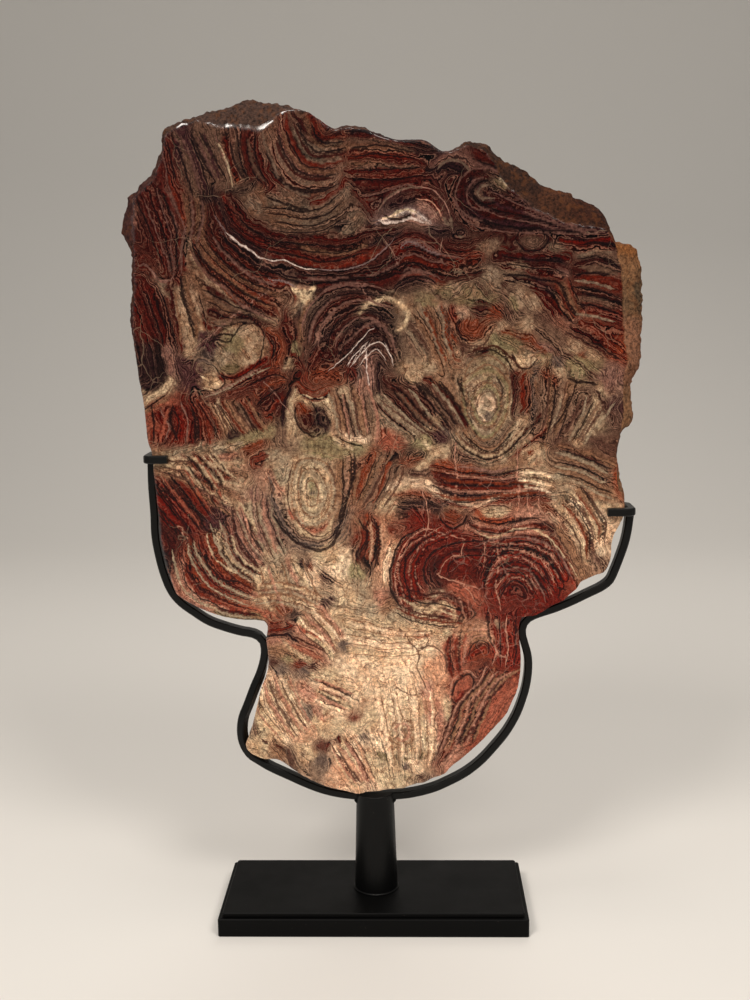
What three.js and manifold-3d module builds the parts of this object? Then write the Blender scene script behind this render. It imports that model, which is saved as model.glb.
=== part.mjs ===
// A polished slice of stromatolite in a black steel display stand.
// Millimetres, +Z up, origin at the centre of the base's underside. The polished face looks along -Y.
import * as THREE from 'three';
import { mergeVertices } from 'three/addons/utils/BufferGeometryUtils.js';
import Module from 'manifold-3d';

// ---- driving dimensions -------------------------------------------------------------------
const CLEARANCE = 0.3;          // air between pieces that touch

const BASE = {
  width: 254,                   // 10 x 4 in steel plate, 3/4 in thick
  depth: 101.6,
  height: 19.05,
  stepHeight: 3.7,              // the top is machined back all round
  stepInset: 3.4,
  grooveDepth: 0.5,             // fine groove at the foot of the step
  grooveHeight: 0.6,
  arris: 0.5,
  corner: 1.0,
};

const CRADLE = {
  thickness: 6.35,              // 3/8 x 1/4 in flat bar, bent the easy way
  depth: 9.53,
  edge: 0.9,                    // its softened edges
  steps: 190,
  twist: 20,                    // degrees that the hand-bent bar rolls over round the left lobe
};

const POST = {
  x: 1.6,
  footRadius: 18.2,
  topRadius: 15.7,
  top: 104.9,                   // flush with the inner face of the cradle
  beadRadius: 0.9,              // weld bead round the foot
  beadHeight: 1.3,
  gusset: 1.8,                  // weld fillets under the cradle, left and right
  gussetFall: 2.3,              // how far they run down the post
  arris: 0.4,                   // softened edge round the top
  sides: 48,
};

const SLAB = {
  thickness: 20,
  chip: 1.7,                    // how deep the chips and pits of the rim go
  backInset: 2.4,               // the sawn back is a little smaller than the rim
  samplesPerPoint: 2,
  chipsRound: 75,               // counted round the rim: broad chips, small pits, waves of the saw
  pitsRound: 190,
  wavesRound: 40,
};

const CLIP = {
  bar: 6.35,                    // 1/4 in square bar
  leftTip: -159.6,              // how far each finger reaches over the stone, along X
  leftOuter: -179.8,            // outside of the bend that goes round the stone's edge
  leftHeight: 389.6,            // height of its centre line
  rightTip: 189.8,
  rightOuter: 212.6,
  rightHeight: 344.1,
  bend: 4.5,
};

// Outer edge of the cradle in the XZ plane, from its left end down, round the stone and up.
const CRADLE_EDGE = [
  [-178, 386], [-178.3, 367], [-177.5, 344], [-177.5, 326], [-175.5, 310.5],
  [-171.5, 292.5], [-166, 278], [-158.5, 268], [-147, 259], [-135, 251],
  [-119.5, 245], [-106.5, 241.3], [-98, 239.7], [-92.2, 235.7], [-91, 227.5],
  [-94.5, 213], [-101, 198], [-106.7, 183.5], [-111.7, 171], [-113.3, 159],
  [-112.4, 149.7], [-109.8, 142.3], [-104.7, 134.9], [-95.8, 128.8], [-84, 122.3],
  [-69.9, 115.5], [-57.8, 109.7], [-43.4, 104], [-29, 100.4], [-14.6, 98.6],
  [1, 98.2], [18, 98.5], [32.3, 100.1], [50.8, 104.8], [65.3, 111.3], [79.6, 119.4],
  [92.3, 129.8], [104.5, 143.5], [113.5, 155.2], [122.3, 171], [127.1, 184],
  [130.4, 196.2], [132.3, 211.4], [131.8, 223.5], [128.3, 236.7], [126.8, 243.8],
  [128.8, 250.4], [133.4, 253.6], [138.2, 255.6], [151.4, 260], [165.6, 266],
  [177.7, 272], [189.5, 277.9], [196.8, 284], [201.2, 293.5], [205.2, 304.5],
  [209, 316.6], [211.2, 328], [212.5, 339.8],
];

// Rim of the stone, clockwise from the left clip: x and z of its widest line, then how far the
// edge of the polished face lies from there, dx and dz. The rest is natural, weathered rind.
const RIM = [
  [-172.2, 383, 0, 0], [-172.6, 394, 0, 0], [-175.3, 402, 0, 0], [-177.3, 413, 1, 0],
  [-179.2, 431, 2, 0], [-182.6, 454, 2, 0], [-185.5, 477, 3, 0], [-187.3, 499, 4, 0],
  [-187.2, 511, 5, 0], [-185, 522, 4, 0], [-184.6, 540, 4, 0], [-185.4, 554, 5, 0],
  [-188.6, 560, 9, 0], [-191.6, 567, 12, 0], [-190.8, 575, 11, 0], [-187.8, 581, 9, 0],
  [-185.8, 587, 7, 0], [-184, 594, 6, -1], [-177, 601.5, 4, -4], [-169.8, 607, 4, -3],
  [-166.3, 611, 4, -3], [-161.5, 617, 3, -3], [-159.5, 624, 4, -3], [-156.5, 635, 3, -4],
  [-155.5, 641.5, 3, -5], [-151, 647, 3, -5], [-135, 651.5, 2, -4], [-129, 653.5, 2, -4],
  [-121, 657.5, 1, -10], [-114, 658.5, 2, -13.5], [-105, 661, 2, -17], [-98, 663.4, 2, -19],
  [-91, 665.2, 1, -22], [-85, 665.8, 1, -24], [-80, 664.3, 1, -23.5], [-75, 663.8, 1.5, -19.5],
  [-69, 663.5, 0, -14.5], [-62, 662.5, -1, -8.5], [-55, 660, 0, -4.5], [-47, 657.5, 0, -2],
  [-41, 655.5, 0, -1.5], [-36, 651.5, 0, -1.5], [-31, 648.5, 0, -3], [-27, 646, 0, -3],
  [-22, 643.5, 0, -3], [-17, 645.5, 0, -4], [-6, 645.5, 0, -4], [1, 644.5, 0, -4],
  [7, 641.5, 0, -4], [14, 638.5, 0, -4], [20, 636, 0, -3], [27, 634.5, 0, -3],
  [44, 634.5, 0, -3], [50, 632.5, 0, -3], [58, 626.5, 0, -3], [65, 625.5, 0, -3],
  [71, 628.5, 0, -4], [78, 632, 0, -5], [82, 632.5, 0, -5], [89, 631, 0, -6],
  [94, 629.5, -2, -6], [98, 625.5, -2, -7], [102, 620.5, -1, -10], [107, 617.5, -3, -13],
  [113, 615.5, -3, -19], [119, 612.5, -3, -23], [126, 608.5, -4, -23], [132, 604, -4, -23],
  [138, 598.5, -4, -21], [145, 596.3, -3, -22], [152, 594.3, -1, -25], [159, 592.3, 0, -25],
  [163, 588.5, 1, -22], [169, 586.3, 1, -20], [176, 584.3, 0, -18], [181.5, 580.5, -2, -15],
  [185, 575.5, -3, -11], [188, 571, -4, -7], [190, 566.5, -4, -4], [192, 560.5, -3, -3],
  [195, 555, -3, -2], [204, 553.5, -11, -4], [209, 551, -15, -6], [212, 547.5, -17, -6],
  [213.5, 541, -17.5, -4], [214.8, 532, -18, -3], [215.6, 520, -17.8, 0], [216, 508, -17.5, 0],
  [216.5, 497, -17.5, 0], [216.5, 485, -17, 0], [216, 474, -15, 0], [216.5, 466, -14.5, 0],
  [215, 459, -13, 0], [211.5, 452, -10, 0], [209, 443, -8.5, 0], [209, 434, -8.5, 0],
  [211, 425, -10, 0], [211.5, 417, -11, 0], [208, 411, -8, 0], [203.5, 408.5, -4.5, -1],
  [200.5, 399, -3, 0], [199, 390, -2.5, 0], [199.5, 383, -2, 0], [201.5, 374, -4.5, 0],
  [203.5, 364, -5, 0], [205.5, 356.5, -4, 0], [205.9, 349, -2, 0], [205, 341.5, -1.5, 0],
  [203, 337, -1, 0], [200, 331, -1, 0], [196.5, 324, -1, 0], [195, 316, -1, 0],
  [195, 308, -1, 0], [193, 300, -1, 0], [189, 294, -1, 0], [183, 291.5, 0, 1],
  [177, 289, 0, 1], [170, 285, 0, 1], [167, 280, 0, 1], [161, 275, 0, 1],
  [156, 270, 0, 1], [147, 266, 0, 1], [140, 261, 0, 1], [132, 258, 0, 0.5],
  [124, 256.8, -1, 0.5], [121, 248, -0.5, 0], [122, 237, -0.5, 0], [123, 221, -0.5, 0],
  [122, 206, -0.5, 0], [119.5, 194, -0.5, 0], [116, 186, -0.5, 0.5], [112, 176, -0.5, 0.5],
  [103, 165, -0.5, 0.5], [95, 156, -0.5, 0.5], [86, 147, -0.5, 0.5], [73, 135.5, 0, 0.5],
  [64, 128, 0, 0.5], [60, 123, 0, 0.5], [50, 119.5, 0, 0.5], [43, 116, 0, 0],
  [36, 115, 0, 0], [25, 111, 0, 0], [15, 110.5, 0, 0], [4, 108.5, 0, 0],
  [-5, 108, 0, 0], [-12, 106, 0, 0], [-24, 109, 0, 0], [-35, 111.5, 0, 0],
  [-47, 116.3, 0, 0], [-56, 121, 0, 0], [-65, 126.3, 0, 0.5], [-74, 133.5, 0, 0.5],
  [-80, 136.3, 0, 0.5], [-90, 136.5, 0, 0.5], [-99, 139.8, 0.5, 0.5], [-105, 146, 0.5, 0],
  [-105.5, 151, 0.5, 0], [-101, 162, 0.5, 0], [-97, 177, 0.5, 0], [-94, 189, 0.5, 0],
  [-91, 200, 0.5, 0], [-87, 209, 0.5, 0], [-84.2, 221, 0, 0], [-84.6, 230, 0, 0],
  [-85.5, 241, 0, 0], [-84, 251, 0, 0], [-87, 255.5, 0, 0], [-102, 256, 0, 0.5],
  [-118, 258.3, 0, 0.5], [-131, 262.5, 0, 0.5], [-140, 266.5, 0, 0.5], [-150, 272, 0, 0.5],
  [-158, 278, 0.5, 0.5], [-161, 287, 0.5, 0], [-164.3, 297, 0.5, 0], [-167.3, 313, 0, 0],
  [-169, 330, 0, 0], [-170, 348, 0, 0], [-171.2, 365, 0, 0],
];

// The rim from the polished face to the back: depth, how much of the polished edge's offset,
// how much of the back's inset and how much of the chipping it takes there.
const HALF = SLAB.thickness / 2;
const LAYERS = [
  { y: -HALF, rind: 1, back: 0, chips: 0.1 },
  { y: -7.6, rind: 0.6, back: 0, chips: 0.7 },
  { y: -4.9, rind: 0.25, back: 0, chips: 1 },
  { y: 0, rind: 0, back: 0, chips: 0.35 },
  { y: 4.9, rind: 0, back: 0.25, chips: 1 },
  { y: 7.4, rind: 0, back: 0.55, chips: 1 },
  { y: HALF, rind: 0, back: 1, chips: 0.5 },
];
const SEAT_EASE = 0.1;          // a little more air, for the facets of both
const SEAT_REACH = 5;            // the rim is ground clear of the bar this far from mid-depth
const SEAT_RANGE = 9;            // and this close to the bar's inner face

// ---- finishes -----------------------------------------------------------------------------
const blackSteel = (color) => new THREE.MeshStandardMaterial({ color, roughness: 0.5, metalness: 0 });
const redStone = new THREE.MeshStandardMaterial({ color: '#8a4d36', roughness: 0.25, metalness: 0 });

// ---- helpers ------------------------------------------------------------------------------
const inPlane = ([x, z]) => new THREE.Vector3(x, 0, z);
const smoothLine = (points, closed) => new THREE.CatmullRomCurve3(points, closed, 'centripetal');

// A closed mesh with one copy of each vertex, from any geometry.
function welded(geometry) {
  const plain = geometry.clone();
  for (const name of Object.keys(plain.attributes)) {
    if (name !== 'position') plain.deleteAttribute(name);
  }
  return mergeVertices(plain, 1e-4);
}

// A solid from rings of points with the same count: side walls, then a cap on each end ring.
function loft(rings) {
  const count = rings[0].length;
  const positions = rings.flat().flatMap((p) => [p.x, p.y, p.z]);
  const index = [];
  for (let r = 0; r + 1 < rings.length; r += 1) {
    for (let i = 0; i < count; i += 1) {
      const j = (i + 1) % count;
      const [a, b] = [r * count + i, r * count + j];
      index.push(a, b, b + count, a, b + count, a + count);
    }
  }
  return { positions, index, count };
}

function closedGeometry(positions, index) {
  const geometry = new THREE.BufferGeometry();
  geometry.setAttribute('position', new THREE.Float32BufferAttribute(positions, 3));
  geometry.setIndex(index);
  const solid = welded(geometry);
  solid.computeVertexNormals();
  return solid;
}

// A repeatable number from 0 to 1 for each whole number.
function scatter(n, seed) {
  const wave = Math.sin(n * 127.1 + seed * 311.7) * 43758.5453;
  return wave - Math.floor(wave);
}

// Smooth noise from 0 to 1 along a closed loop of whole cells.
function loopNoise(position, cells, seed) {
  const at = position * cells;
  const cell = Math.floor(at);
  const blend = THREE.MathUtils.smoothstep(at - cell, 0, 1);
  const here = scatter(cell % cells, seed);
  const next = scatter((cell + 1) % cells, seed);
  return here + (next - here) * blend;
}

// Section of a bar with softened edges, centred: its thickness across, its depth along Y.
function barSection(thickness, depth, edge) {
  const [x, y] = [thickness / 2, depth / 2];
  return [
    [-x + edge, -y], [x - edge, -y], [x, -y + edge], [x, y - edge],
    [x - edge, y], [-x + edge, y], [-x, y - edge], [-x, -y + edge],
  ].map((corner) => new THREE.Vector2(...corner));
}

// Flat fans of triangles that close both ends of a loft with convex end rings.
function capEnds(index, count, rings) {
  const last = (rings - 1) * count;
  for (let i = 1; i + 1 < count; i += 1) index.push(0, i + 1, i, last, last + i, last + i + 1);
}

// ---- cradle: a flat bar bent to the outline of the stone ----------------------------------
const cradlePath = smoothLine(CRADLE_EDGE.map(inPlane), false);

// How far the bar is rolled over at a point of its outer edge, in radians.
function cradleRoll(point) {
  const intoLobe = THREE.MathUtils.smoothstep(-point.x, 88, 100);
  const belowNotch = 1 - THREE.MathUtils.smoothstep(point.z, 205, 232);
  return THREE.MathUtils.degToRad(CRADLE.twist) * intoLobe * belowNotch;
}

// The bar at each step: its inner face, the direction away from the stone, and its corners.
function cradleSections() {
  const section = barSection(CRADLE.thickness, CRADLE.depth, CRADLE.edge);
  const sections = [];
  for (let i = 0; i <= CRADLE.steps; i += 1) {
    const along = cradlePath.getTangentAt(i / CRADLE.steps);
    const outward = new THREE.Vector3(along.z, 0, -along.x);
    const edge = cradlePath.getPointAt(i / CRADLE.steps);
    const rolled = section.map((p) => p.clone().rotateAround({ x: 0, y: 0 }, cradleRoll(edge)));
    const reach = Math.max(...rolled.map((p) => p.x));
    const corners = rolled.map((p) => {
      const corner = edge.clone().addScaledVector(outward, p.x - reach);
      corner.y = p.y;
      return corner;
    });
    sections.push({ inner: edge.clone().addScaledVector(outward, -2 * reach), outward, corners });
  }
  return sections;
}

function cradle() {
  const { positions, index, count } = loft(cradleSections().map(({ corners }) => corners));
  capEnds(index, count, CRADLE.steps + 1);
  return closedGeometry(positions, index);
}

// ---- slab: flat polished face, sawn back, chipped natural rim -----------------------------
function slab() {
  const widest = smoothLine(RIM.map(inPlane), true);
  const polished = smoothLine(RIM.map(([x, z, dx, dz]) => inPlane([x + dx, z + dz])), true);
  const samples = RIM.length * SLAB.samplesPerPoint;
  const seat = cradleSections();

  // Moves a point of the rim back to where it clears the bar. Above the bar's ends it stays put.
  const seated = (point) => {
    const flat = new THREE.Vector3(point.x, 0, point.z);
    let nearest = seat[0];
    for (const spot of seat) {
      if (spot.inner.distanceTo(flat) < nearest.inner.distanceTo(flat)) nearest = spot;
    }
    if (nearest.inner.distanceTo(flat) > SEAT_RANGE) return point;
    const past = flat.sub(nearest.inner).dot(nearest.outward) + CLEARANCE + SEAT_EASE;
    return past > 0 ? point.addScaledVector(nearest.outward, -past) : point;
  };

  const ring = ({ y, rind, back, chips }, layer) => {
    const points = [];
    for (let i = 0; i < samples; i += 1) {
      const u = i / samples;
      const edge = widest.getPoint(u);
      const along = widest.getTangent(u);
      const inward = new THREE.Vector3(along.z, 0, -along.x);
      const coarse = loopNoise(u, SLAB.chipsRound, layer);
      const fine = loopNoise(u, SLAB.pitsRound, layer + 20);
      const chip = SLAB.chip * chips * (0.65 * coarse + 0.35 * fine);
      const wave = 0.4 + 0.8 * loopNoise(u, SLAB.wavesRound, 50);
      const sawn = SLAB.backInset * back * wave;
      const point = edge.lerp(polished.getPoint(u), rind).addScaledVector(inward, chip + sawn);
      point.y = y;
      points.push(Math.abs(y) < SEAT_REACH ? seated(point) : point);
    }
    return points;
  };

  const rings = LAYERS.map(ring);
  const { positions, index, count } = loft(rings);
  const outline = (points) => points.map((p) => new THREE.Vector2(p.x, p.z));
  const last = (rings.length - 1) * count;
  for (const [a, b, c] of THREE.ShapeUtils.triangulateShape(outline(rings[0]), [])) {
    index.push(a, b, c);
  }
  for (const [a, b, c] of THREE.ShapeUtils.triangulateShape(outline(rings.at(-1)), [])) {
    index.push(last + c, last + b, last + a);
  }
  return closedGeometry(positions, index);
}

// ---- clips: short bars bent in a U round the stone's edge, on the ends of the cradle ------
function clip(tip, outer, height) {
  const away = Math.sign(outer - tip);
  const spine = outer - away * CLIP.bar / 2;
  const face = HALF + CLEARANCE + CLIP.bar / 2;
  const turn = spine - away * CLIP.bend;
  const at = (x, y) => new THREE.Vector3(x, y, height);
  const path = new THREE.CurvePath();
  path.add(new THREE.LineCurve3(at(tip, -face), at(turn, -face)));
  path.add(new THREE.QuadraticBezierCurve3(
    at(turn, -face), at(spine, -face), at(spine, -face + CLIP.bend)));
  path.add(new THREE.LineCurve3(at(spine, -face + CLIP.bend), at(spine, face - CLIP.bend)));
  path.add(new THREE.QuadraticBezierCurve3(
    at(spine, face - CLIP.bend), at(spine, face), at(turn, face)));
  path.add(new THREE.LineCurve3(at(turn, face), at(tip, face)));
  const section = new THREE.Shape(barSection(CLIP.bar, CLIP.bar, CRADLE.edge));
  return new THREE.ExtrudeGeometry(section, { steps: 36, bevelEnabled: false, extrudePath: path });
}

// ---- post: tapered round column, slotted at the top for the cradle ------------------------
async function post() {
  const wasm = await Module();
  wasm.setup();
  const solidOf = (geometry) => {
    const mesh = welded(geometry);
    return new wasm.Manifold(new wasm.Mesh({
      numProp: 3,
      vertProperties: Float32Array.from(mesh.attributes.position.array),
      triVerts: Uint32Array.from(mesh.index.array),
    }));
  };

  const foot = BASE.height + CLEARANCE;
  const column = new THREE.LatheGeometry([
    [0, foot], [POST.footRadius + POST.beadRadius, foot],
    [POST.footRadius + POST.beadRadius, foot + POST.beadHeight / 2],
    [POST.footRadius, foot + POST.beadHeight], [POST.topRadius, POST.top - POST.arris],
    [POST.topRadius - POST.arris, POST.top], [0, POST.top],
  ].map(([r, z]) => new THREE.Vector2(r, z)), POST.sides);
  column.rotateX(Math.PI / 2);

  const floor = CRADLE_EDGE.find(([x]) => x === 1)[1] - CLEARANCE;
  const across = 4 * POST.topRadius;
  const slot = new THREE.BoxGeometry(across, CRADLE.depth + 2 * CLEARANCE, across);
  slot.translate(0, 0, floor + across / 2);

  let solid = solidOf(column);
  for (const side of [-1, 1]) {
    const fillet = new THREE.Shape([
      new THREE.Vector2(0, floor), new THREE.Vector2(POST.topRadius + POST.gusset, floor),
      new THREE.Vector2(POST.topRadius, floor - POST.gussetFall),
      new THREE.Vector2(0, floor - POST.gussetFall),
    ]);
    const wedge = new THREE.ExtrudeGeometry(fillet, { depth: CRADLE.depth, bevelEnabled: false });
    wedge.rotateX(Math.PI / 2);
    wedge.translate(0, CRADLE.depth / 2, 0);
    if (side < 0) wedge.rotateZ(Math.PI);
    solid = solid.add(solidOf(wedge));
  }
  const { vertProperties, triVerts } = solid.subtract(solidOf(slot)).getMesh();
  return closedGeometry(Array.from(vertProperties), Array.from(triVerts));
}

// ---- base: steel plate with a machined step round its top ---------------------------------
function base() {
  const ledge = BASE.height - BASE.stepHeight;
  const ring = (inset, z) => {
    const [x, y, c] = [BASE.width / 2 - inset, BASE.depth / 2 - inset, BASE.corner];
    return [
      [x - c, -y], [x, -y + c], [x, y - c], [x - c, y],
      [-x + c, y], [-x, y - c], [-x, -y + c], [-x + c, -y],
    ].map(([px, py]) => new THREE.Vector3(px, py, z));
  };
  const rings = [
    ring(BASE.arris, 0), ring(0, BASE.arris), ring(0, ledge - BASE.arris), ring(BASE.arris, ledge),
    ring(BASE.stepInset + BASE.grooveDepth, ledge),
    ring(BASE.stepInset + BASE.grooveDepth, ledge + BASE.grooveHeight),
    ring(BASE.stepInset, ledge + BASE.grooveHeight),
    ring(BASE.stepInset, BASE.height - BASE.arris),
    ring(BASE.stepInset + BASE.arris, BASE.height),
  ];
  const { positions, index, count } = loft(rings);
  capEnds(index, count, rings.length);
  return closedGeometry(positions, index);
}

// ---- the assembly -------------------------------------------------------------------------
const part = new THREE.Group();

function place(name, geometry, material) {
  const mesh = new THREE.Mesh(geometry, material);
  mesh.name = name;
  part.add(mesh);
  return mesh;
}

place('slab', slab(), redStone);
place('cradle', cradle(), blackSteel('#26282a'));
place('left_clip', clip(CLIP.leftTip, CLIP.leftOuter, CLIP.leftHeight), blackSteel('#2b2d2e'));
place('right_clip', clip(CLIP.rightTip, CLIP.rightOuter, CLIP.rightHeight), blackSteel('#2b2d2e'));
place('post', await post(), blackSteel('#161617')).position.x = POST.x;
place('base', base(), blackSteel('#1b1a19'));

export default part;
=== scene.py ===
# %% [markdown]
# # A polished stromatolite in its display stand
#
# The object is one slice of fossil microbial reef, sawn about 20 mm thick and polished
# on the front. Cyanobacteria laid it down one thin mat at a time, so the whole face is
# thin layers, folded, broken and healed again. A black steel stand carries it: a heavy
# plate, a tapered post, a flat bar bent to the stone's outline and two short clips.
#
# The imported model gives every solid its place. This first cell loads it.

# %% Load the imported model
import math

import bmesh
import bpy
import numpy as np
from mathutils import Matrix, Vector
from mathutils.geometry import delaunay_2d_cdt


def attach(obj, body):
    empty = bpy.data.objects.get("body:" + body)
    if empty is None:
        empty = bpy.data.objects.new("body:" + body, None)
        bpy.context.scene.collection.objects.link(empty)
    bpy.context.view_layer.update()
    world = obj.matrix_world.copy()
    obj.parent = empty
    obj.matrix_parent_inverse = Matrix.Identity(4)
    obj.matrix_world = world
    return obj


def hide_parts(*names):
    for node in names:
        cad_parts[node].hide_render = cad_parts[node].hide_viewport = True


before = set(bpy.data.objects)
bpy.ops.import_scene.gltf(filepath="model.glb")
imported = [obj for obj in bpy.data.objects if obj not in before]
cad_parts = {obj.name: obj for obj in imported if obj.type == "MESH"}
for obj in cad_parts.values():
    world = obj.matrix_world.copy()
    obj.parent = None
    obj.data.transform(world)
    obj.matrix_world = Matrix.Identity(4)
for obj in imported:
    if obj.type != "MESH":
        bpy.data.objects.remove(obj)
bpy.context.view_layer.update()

# %% [markdown]
# ## The camera
#
# A plain studio view: the lens stands level with the upper half of the stone,
# a metre in front of it, and looks down a little. A 43 mm lens on a 36 mm high frame
# is close to what the eye expects. The three axes are built by hand, because that
# keeps the small tilt of a hand-held camera, which a "look at" helper would lose.

# %% Camera
MM = 0.001
LENS_MM = 43.2
SENSOR_MM = 36
EYE_MM = (33, -956, 515)
YAW, PITCH, ROLL = (math.radians(angle) for angle in (1.69, 9.6, -0.77))

forward = Vector((-math.sin(YAW) * math.cos(PITCH), math.cos(YAW) * math.cos(PITCH), -math.sin(PITCH)))
sideways = Vector((math.cos(YAW), math.sin(YAW), 0))
upright = sideways.cross(forward)
right = math.cos(ROLL) * sideways + math.sin(ROLL) * upright
up = math.cos(ROLL) * upright - math.sin(ROLL) * sideways

lens = bpy.data.cameras.new("lens")
lens.lens = LENS_MM
lens.sensor_width = SENSOR_MM
camera = bpy.data.objects.new("camera", lens)
turned = Matrix((right, up, -forward)).transposed().to_4x4()
camera.matrix_world = Matrix.Translation(Vector(EYE_MM) * MM) @ turned
bpy.context.collection.objects.link(camera)
bpy.context.scene.camera = camera
print("camera looks down", round(math.degrees(PITCH), 1), "degrees")

# %% [markdown]
# ## Two helpers for every material
#
# Colours are written as the hex values a painter's chart or an image editor shows.
# Those are sRGB, a scale bent to suit the eye, while a renderer adds up real light.
# `linear` unbends them once, so no colour is ever converted twice.
#
# `add_node` puts one node in a material, sets its values and links its inputs, so
# each material below reads from top to bottom like a recipe.

# %% Colour and node helpers
def linear(hex_colour):
    """Three linear channels for an sRGB colour such as #a86b4f."""
    channels = [int(hex_colour[i:i + 2], 16) / 255 for i in (1, 3, 5)]
    return [c / 12.92 if c <= 0.04045 else ((c + 0.055) / 1.055) ** 2.4 for c in channels]


def add_node(material, kind, settings=None, links=None):
    """One new node: settings name its own options or its inputs, links name inputs only."""
    node = material.node_tree.nodes.new("ShaderNode" + kind)
    for name, value in (settings or {}).items():
        if isinstance(name, int) or name in node.inputs:
            node.inputs[name].default_value = value
        else:
            setattr(node, name, value)
    for name, source in (links or {}).items():
        material.node_tree.links.new(source, node.inputs[name])
    return node


def new_material(name):
    """An empty material and its output node, ready for a shader."""
    material = bpy.data.materials.new(name)
    material.use_nodes = True
    material.node_tree.nodes.clear()
    return material, material.node_tree.nodes.new("ShaderNodeOutputMaterial")


def colour(hex_colour):
    """The same colour as the four numbers that a node's colour input holds."""
    return (*linear(hex_colour), 1)


print("mid grey in linear light:", round(linear("#808080")[0], 3))

# %% [markdown]
# ## Floor, air and lamps
#
# A plain pale floor that sweeps up far behind the object, as a studio's paper roll
# does, so no horizon line shows. The light is soft studio light: two large panels hang
# high in front, one on each side, aimed low so that the stone's foot and the floor are
# the bright part. A small one overhead lights the top of the rim, and a wide one keeps
# the back readable. The air is a pale grey that fills the shadows. Large panels give a
# polished stone broad, dim reflections rather than glare.

# %% Floor and sweep
FLOOR_HALF_M = 7
SWEEP_START_M = 1.5
SWEEP_RADIUS_M = 1.6
SWEEP_TOP_M = 5
SWEEP_STEPS = 24
profile = [(-FLOOR_HALF_M, 0), (SWEEP_START_M, 0)]
for k in range(1, SWEEP_STEPS + 1):
    turn = math.radians(90 * k / SWEEP_STEPS)
    y = SWEEP_START_M + SWEEP_RADIUS_M * math.sin(turn)
    profile.append((y, SWEEP_RADIUS_M * (1 - math.cos(turn))))
profile.append((SWEEP_START_M + SWEEP_RADIUS_M, SWEEP_TOP_M))
floor_mesh = bpy.data.meshes.new("floor")
floor_mesh.from_pydata(
    [(x, y, z) for y, z in profile for x in (-FLOOR_HALF_M, FLOOR_HALF_M)], [],
    [(2 * k, 2 * k + 1, 2 * k + 3, 2 * k + 2) for k in range(len(profile) - 1)])
floor_mesh.shade_smooth()
floor = bpy.data.objects.new("floor", floor_mesh)
bpy.context.collection.objects.link(floor)

floor_paint, floor_output = new_material("pale matt floor paint")
floor_shader = add_node(
    floor_paint, "BsdfPrincipled",
    {"Base Color": colour("#dedbd6"), "Roughness": 0.75, "Specular IOR Level": 0.15},
)
floor_paint.node_tree.links.new(floor_shader.outputs[0], floor_output.inputs[0])
floor_mesh.materials.append(floor_paint)

air = bpy.data.worlds.new("studio air")
air.use_nodes = True
air_light = air.node_tree.nodes["Background"]
air_light.inputs["Color"].default_value = colour("#c9c7c4")
air_light.inputs["Strength"].default_value = 0.42
bpy.context.scene.world = air
bpy.context.scene.view_settings.view_transform = "Standard"
print("floor is", 2 * FLOOR_HALF_M, "m wide")

# %% Lamps
# each lamp's place in metres, its size in metres and its power in watts
LAMPS = {
    "panel front left": ((-0.8, -1.4, 1.8), 0.7, 27),
    "panel front right": ((0.9, -1.3, 1.9), 0.7, 23),
    "panel overhead": ((0.0, -0.15, 2.3), 0.5, 8),
    "panel behind": ((0.3, 1.4, 1.9), 1.4, 10),
}
LAMP_AIM = Vector((0, 0, 0.1))
for name, (place, size, watts) in LAMPS.items():
    lamp = bpy.data.lights.new(name, "AREA")
    lamp.size = size
    lamp.energy = watts
    lamp.color = linear("#fff8f0")
    holder = bpy.data.objects.new(name, lamp)
    holder.location = place
    holder.rotation_euler = (LAMP_AIM - Vector(place)).to_track_quat("-Z", "Y").to_euler()
    bpy.context.collection.objects.link(holder)
print("lamps:", len(LAMPS))

# %% [markdown]
# ## The outline of the slice
#
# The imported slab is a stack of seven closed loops, from the polished face to the back.
# Each loop is read back in order by walking its edge, so the new, finer stone has
# exactly the shape that the stand was bent to. Walking an edge needs nothing but a
# table of which corner follows which.

# %% Read the slab's loops
def walk_loop(edges):
    """Orders a closed set of edges into one list of corners."""
    after = {}
    for a, b in edges:
        after.setdefault(a, []).append(b)
        after.setdefault(b, []).append(a)
    start = min(after)
    loop, previous, here = [start], None, start
    while True:
        step = [c for c in after[here] if c != previous][0]
        if step == start:
            return loop
        loop.append(step)
        previous, here = here, step


def slab_loops(node):
    """The slab's outline at each depth, as arrays of x and z in mm, all in step."""
    body = bmesh.new()
    body.from_mesh(node.data)
    bmesh.ops.remove_doubles(body, verts=body.verts, dist=1e-6)
    body.verts.index_update()
    place = np.array([v.co for v in body.verts]) / MM
    depth = np.round(place[:, 1], 1)
    loops = {}
    for level_mm in np.unique(depth):
        flat = [e for e in body.edges if all(depth[v.index] == level_mm for v in e.verts)]
        rim = [e for e in flat if not all(
            all(depth[v.index] == level_mm for v in f.verts) for f in e.link_faces)]
        loop = walk_loop([(e.verts[0].index, e.verts[1].index) for e in rim])
        ring = place[loop][:, (0, 2)]
        along = np.roll(ring, -1, 0) - ring
        if (ring[:, 0] * along[:, 1] - ring[:, 1] * along[:, 0]).sum() < 0:
            ring = ring[::-1]
        loops[float(level_mm)] = ring
    body.free()
    return loops


loops = slab_loops(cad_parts["slab"])
depths = sorted(loops)
print("depths, mm:", depths, "corners each:", {len(ring) for ring in loops.values()})

# %% [markdown]
# ## Noise that stays put
#
# Natural edges and layers wander. `ripple` gives every place in the stone a value
# between -1 and 1 that changes smoothly over a chosen distance: random numbers are
# set on a coarse lattice and blended in between. The seed is fixed, so the stone is
# the same each time the script runs.

# %% Ripple
CELLS = 32
LATTICE_START = 100.37


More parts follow.
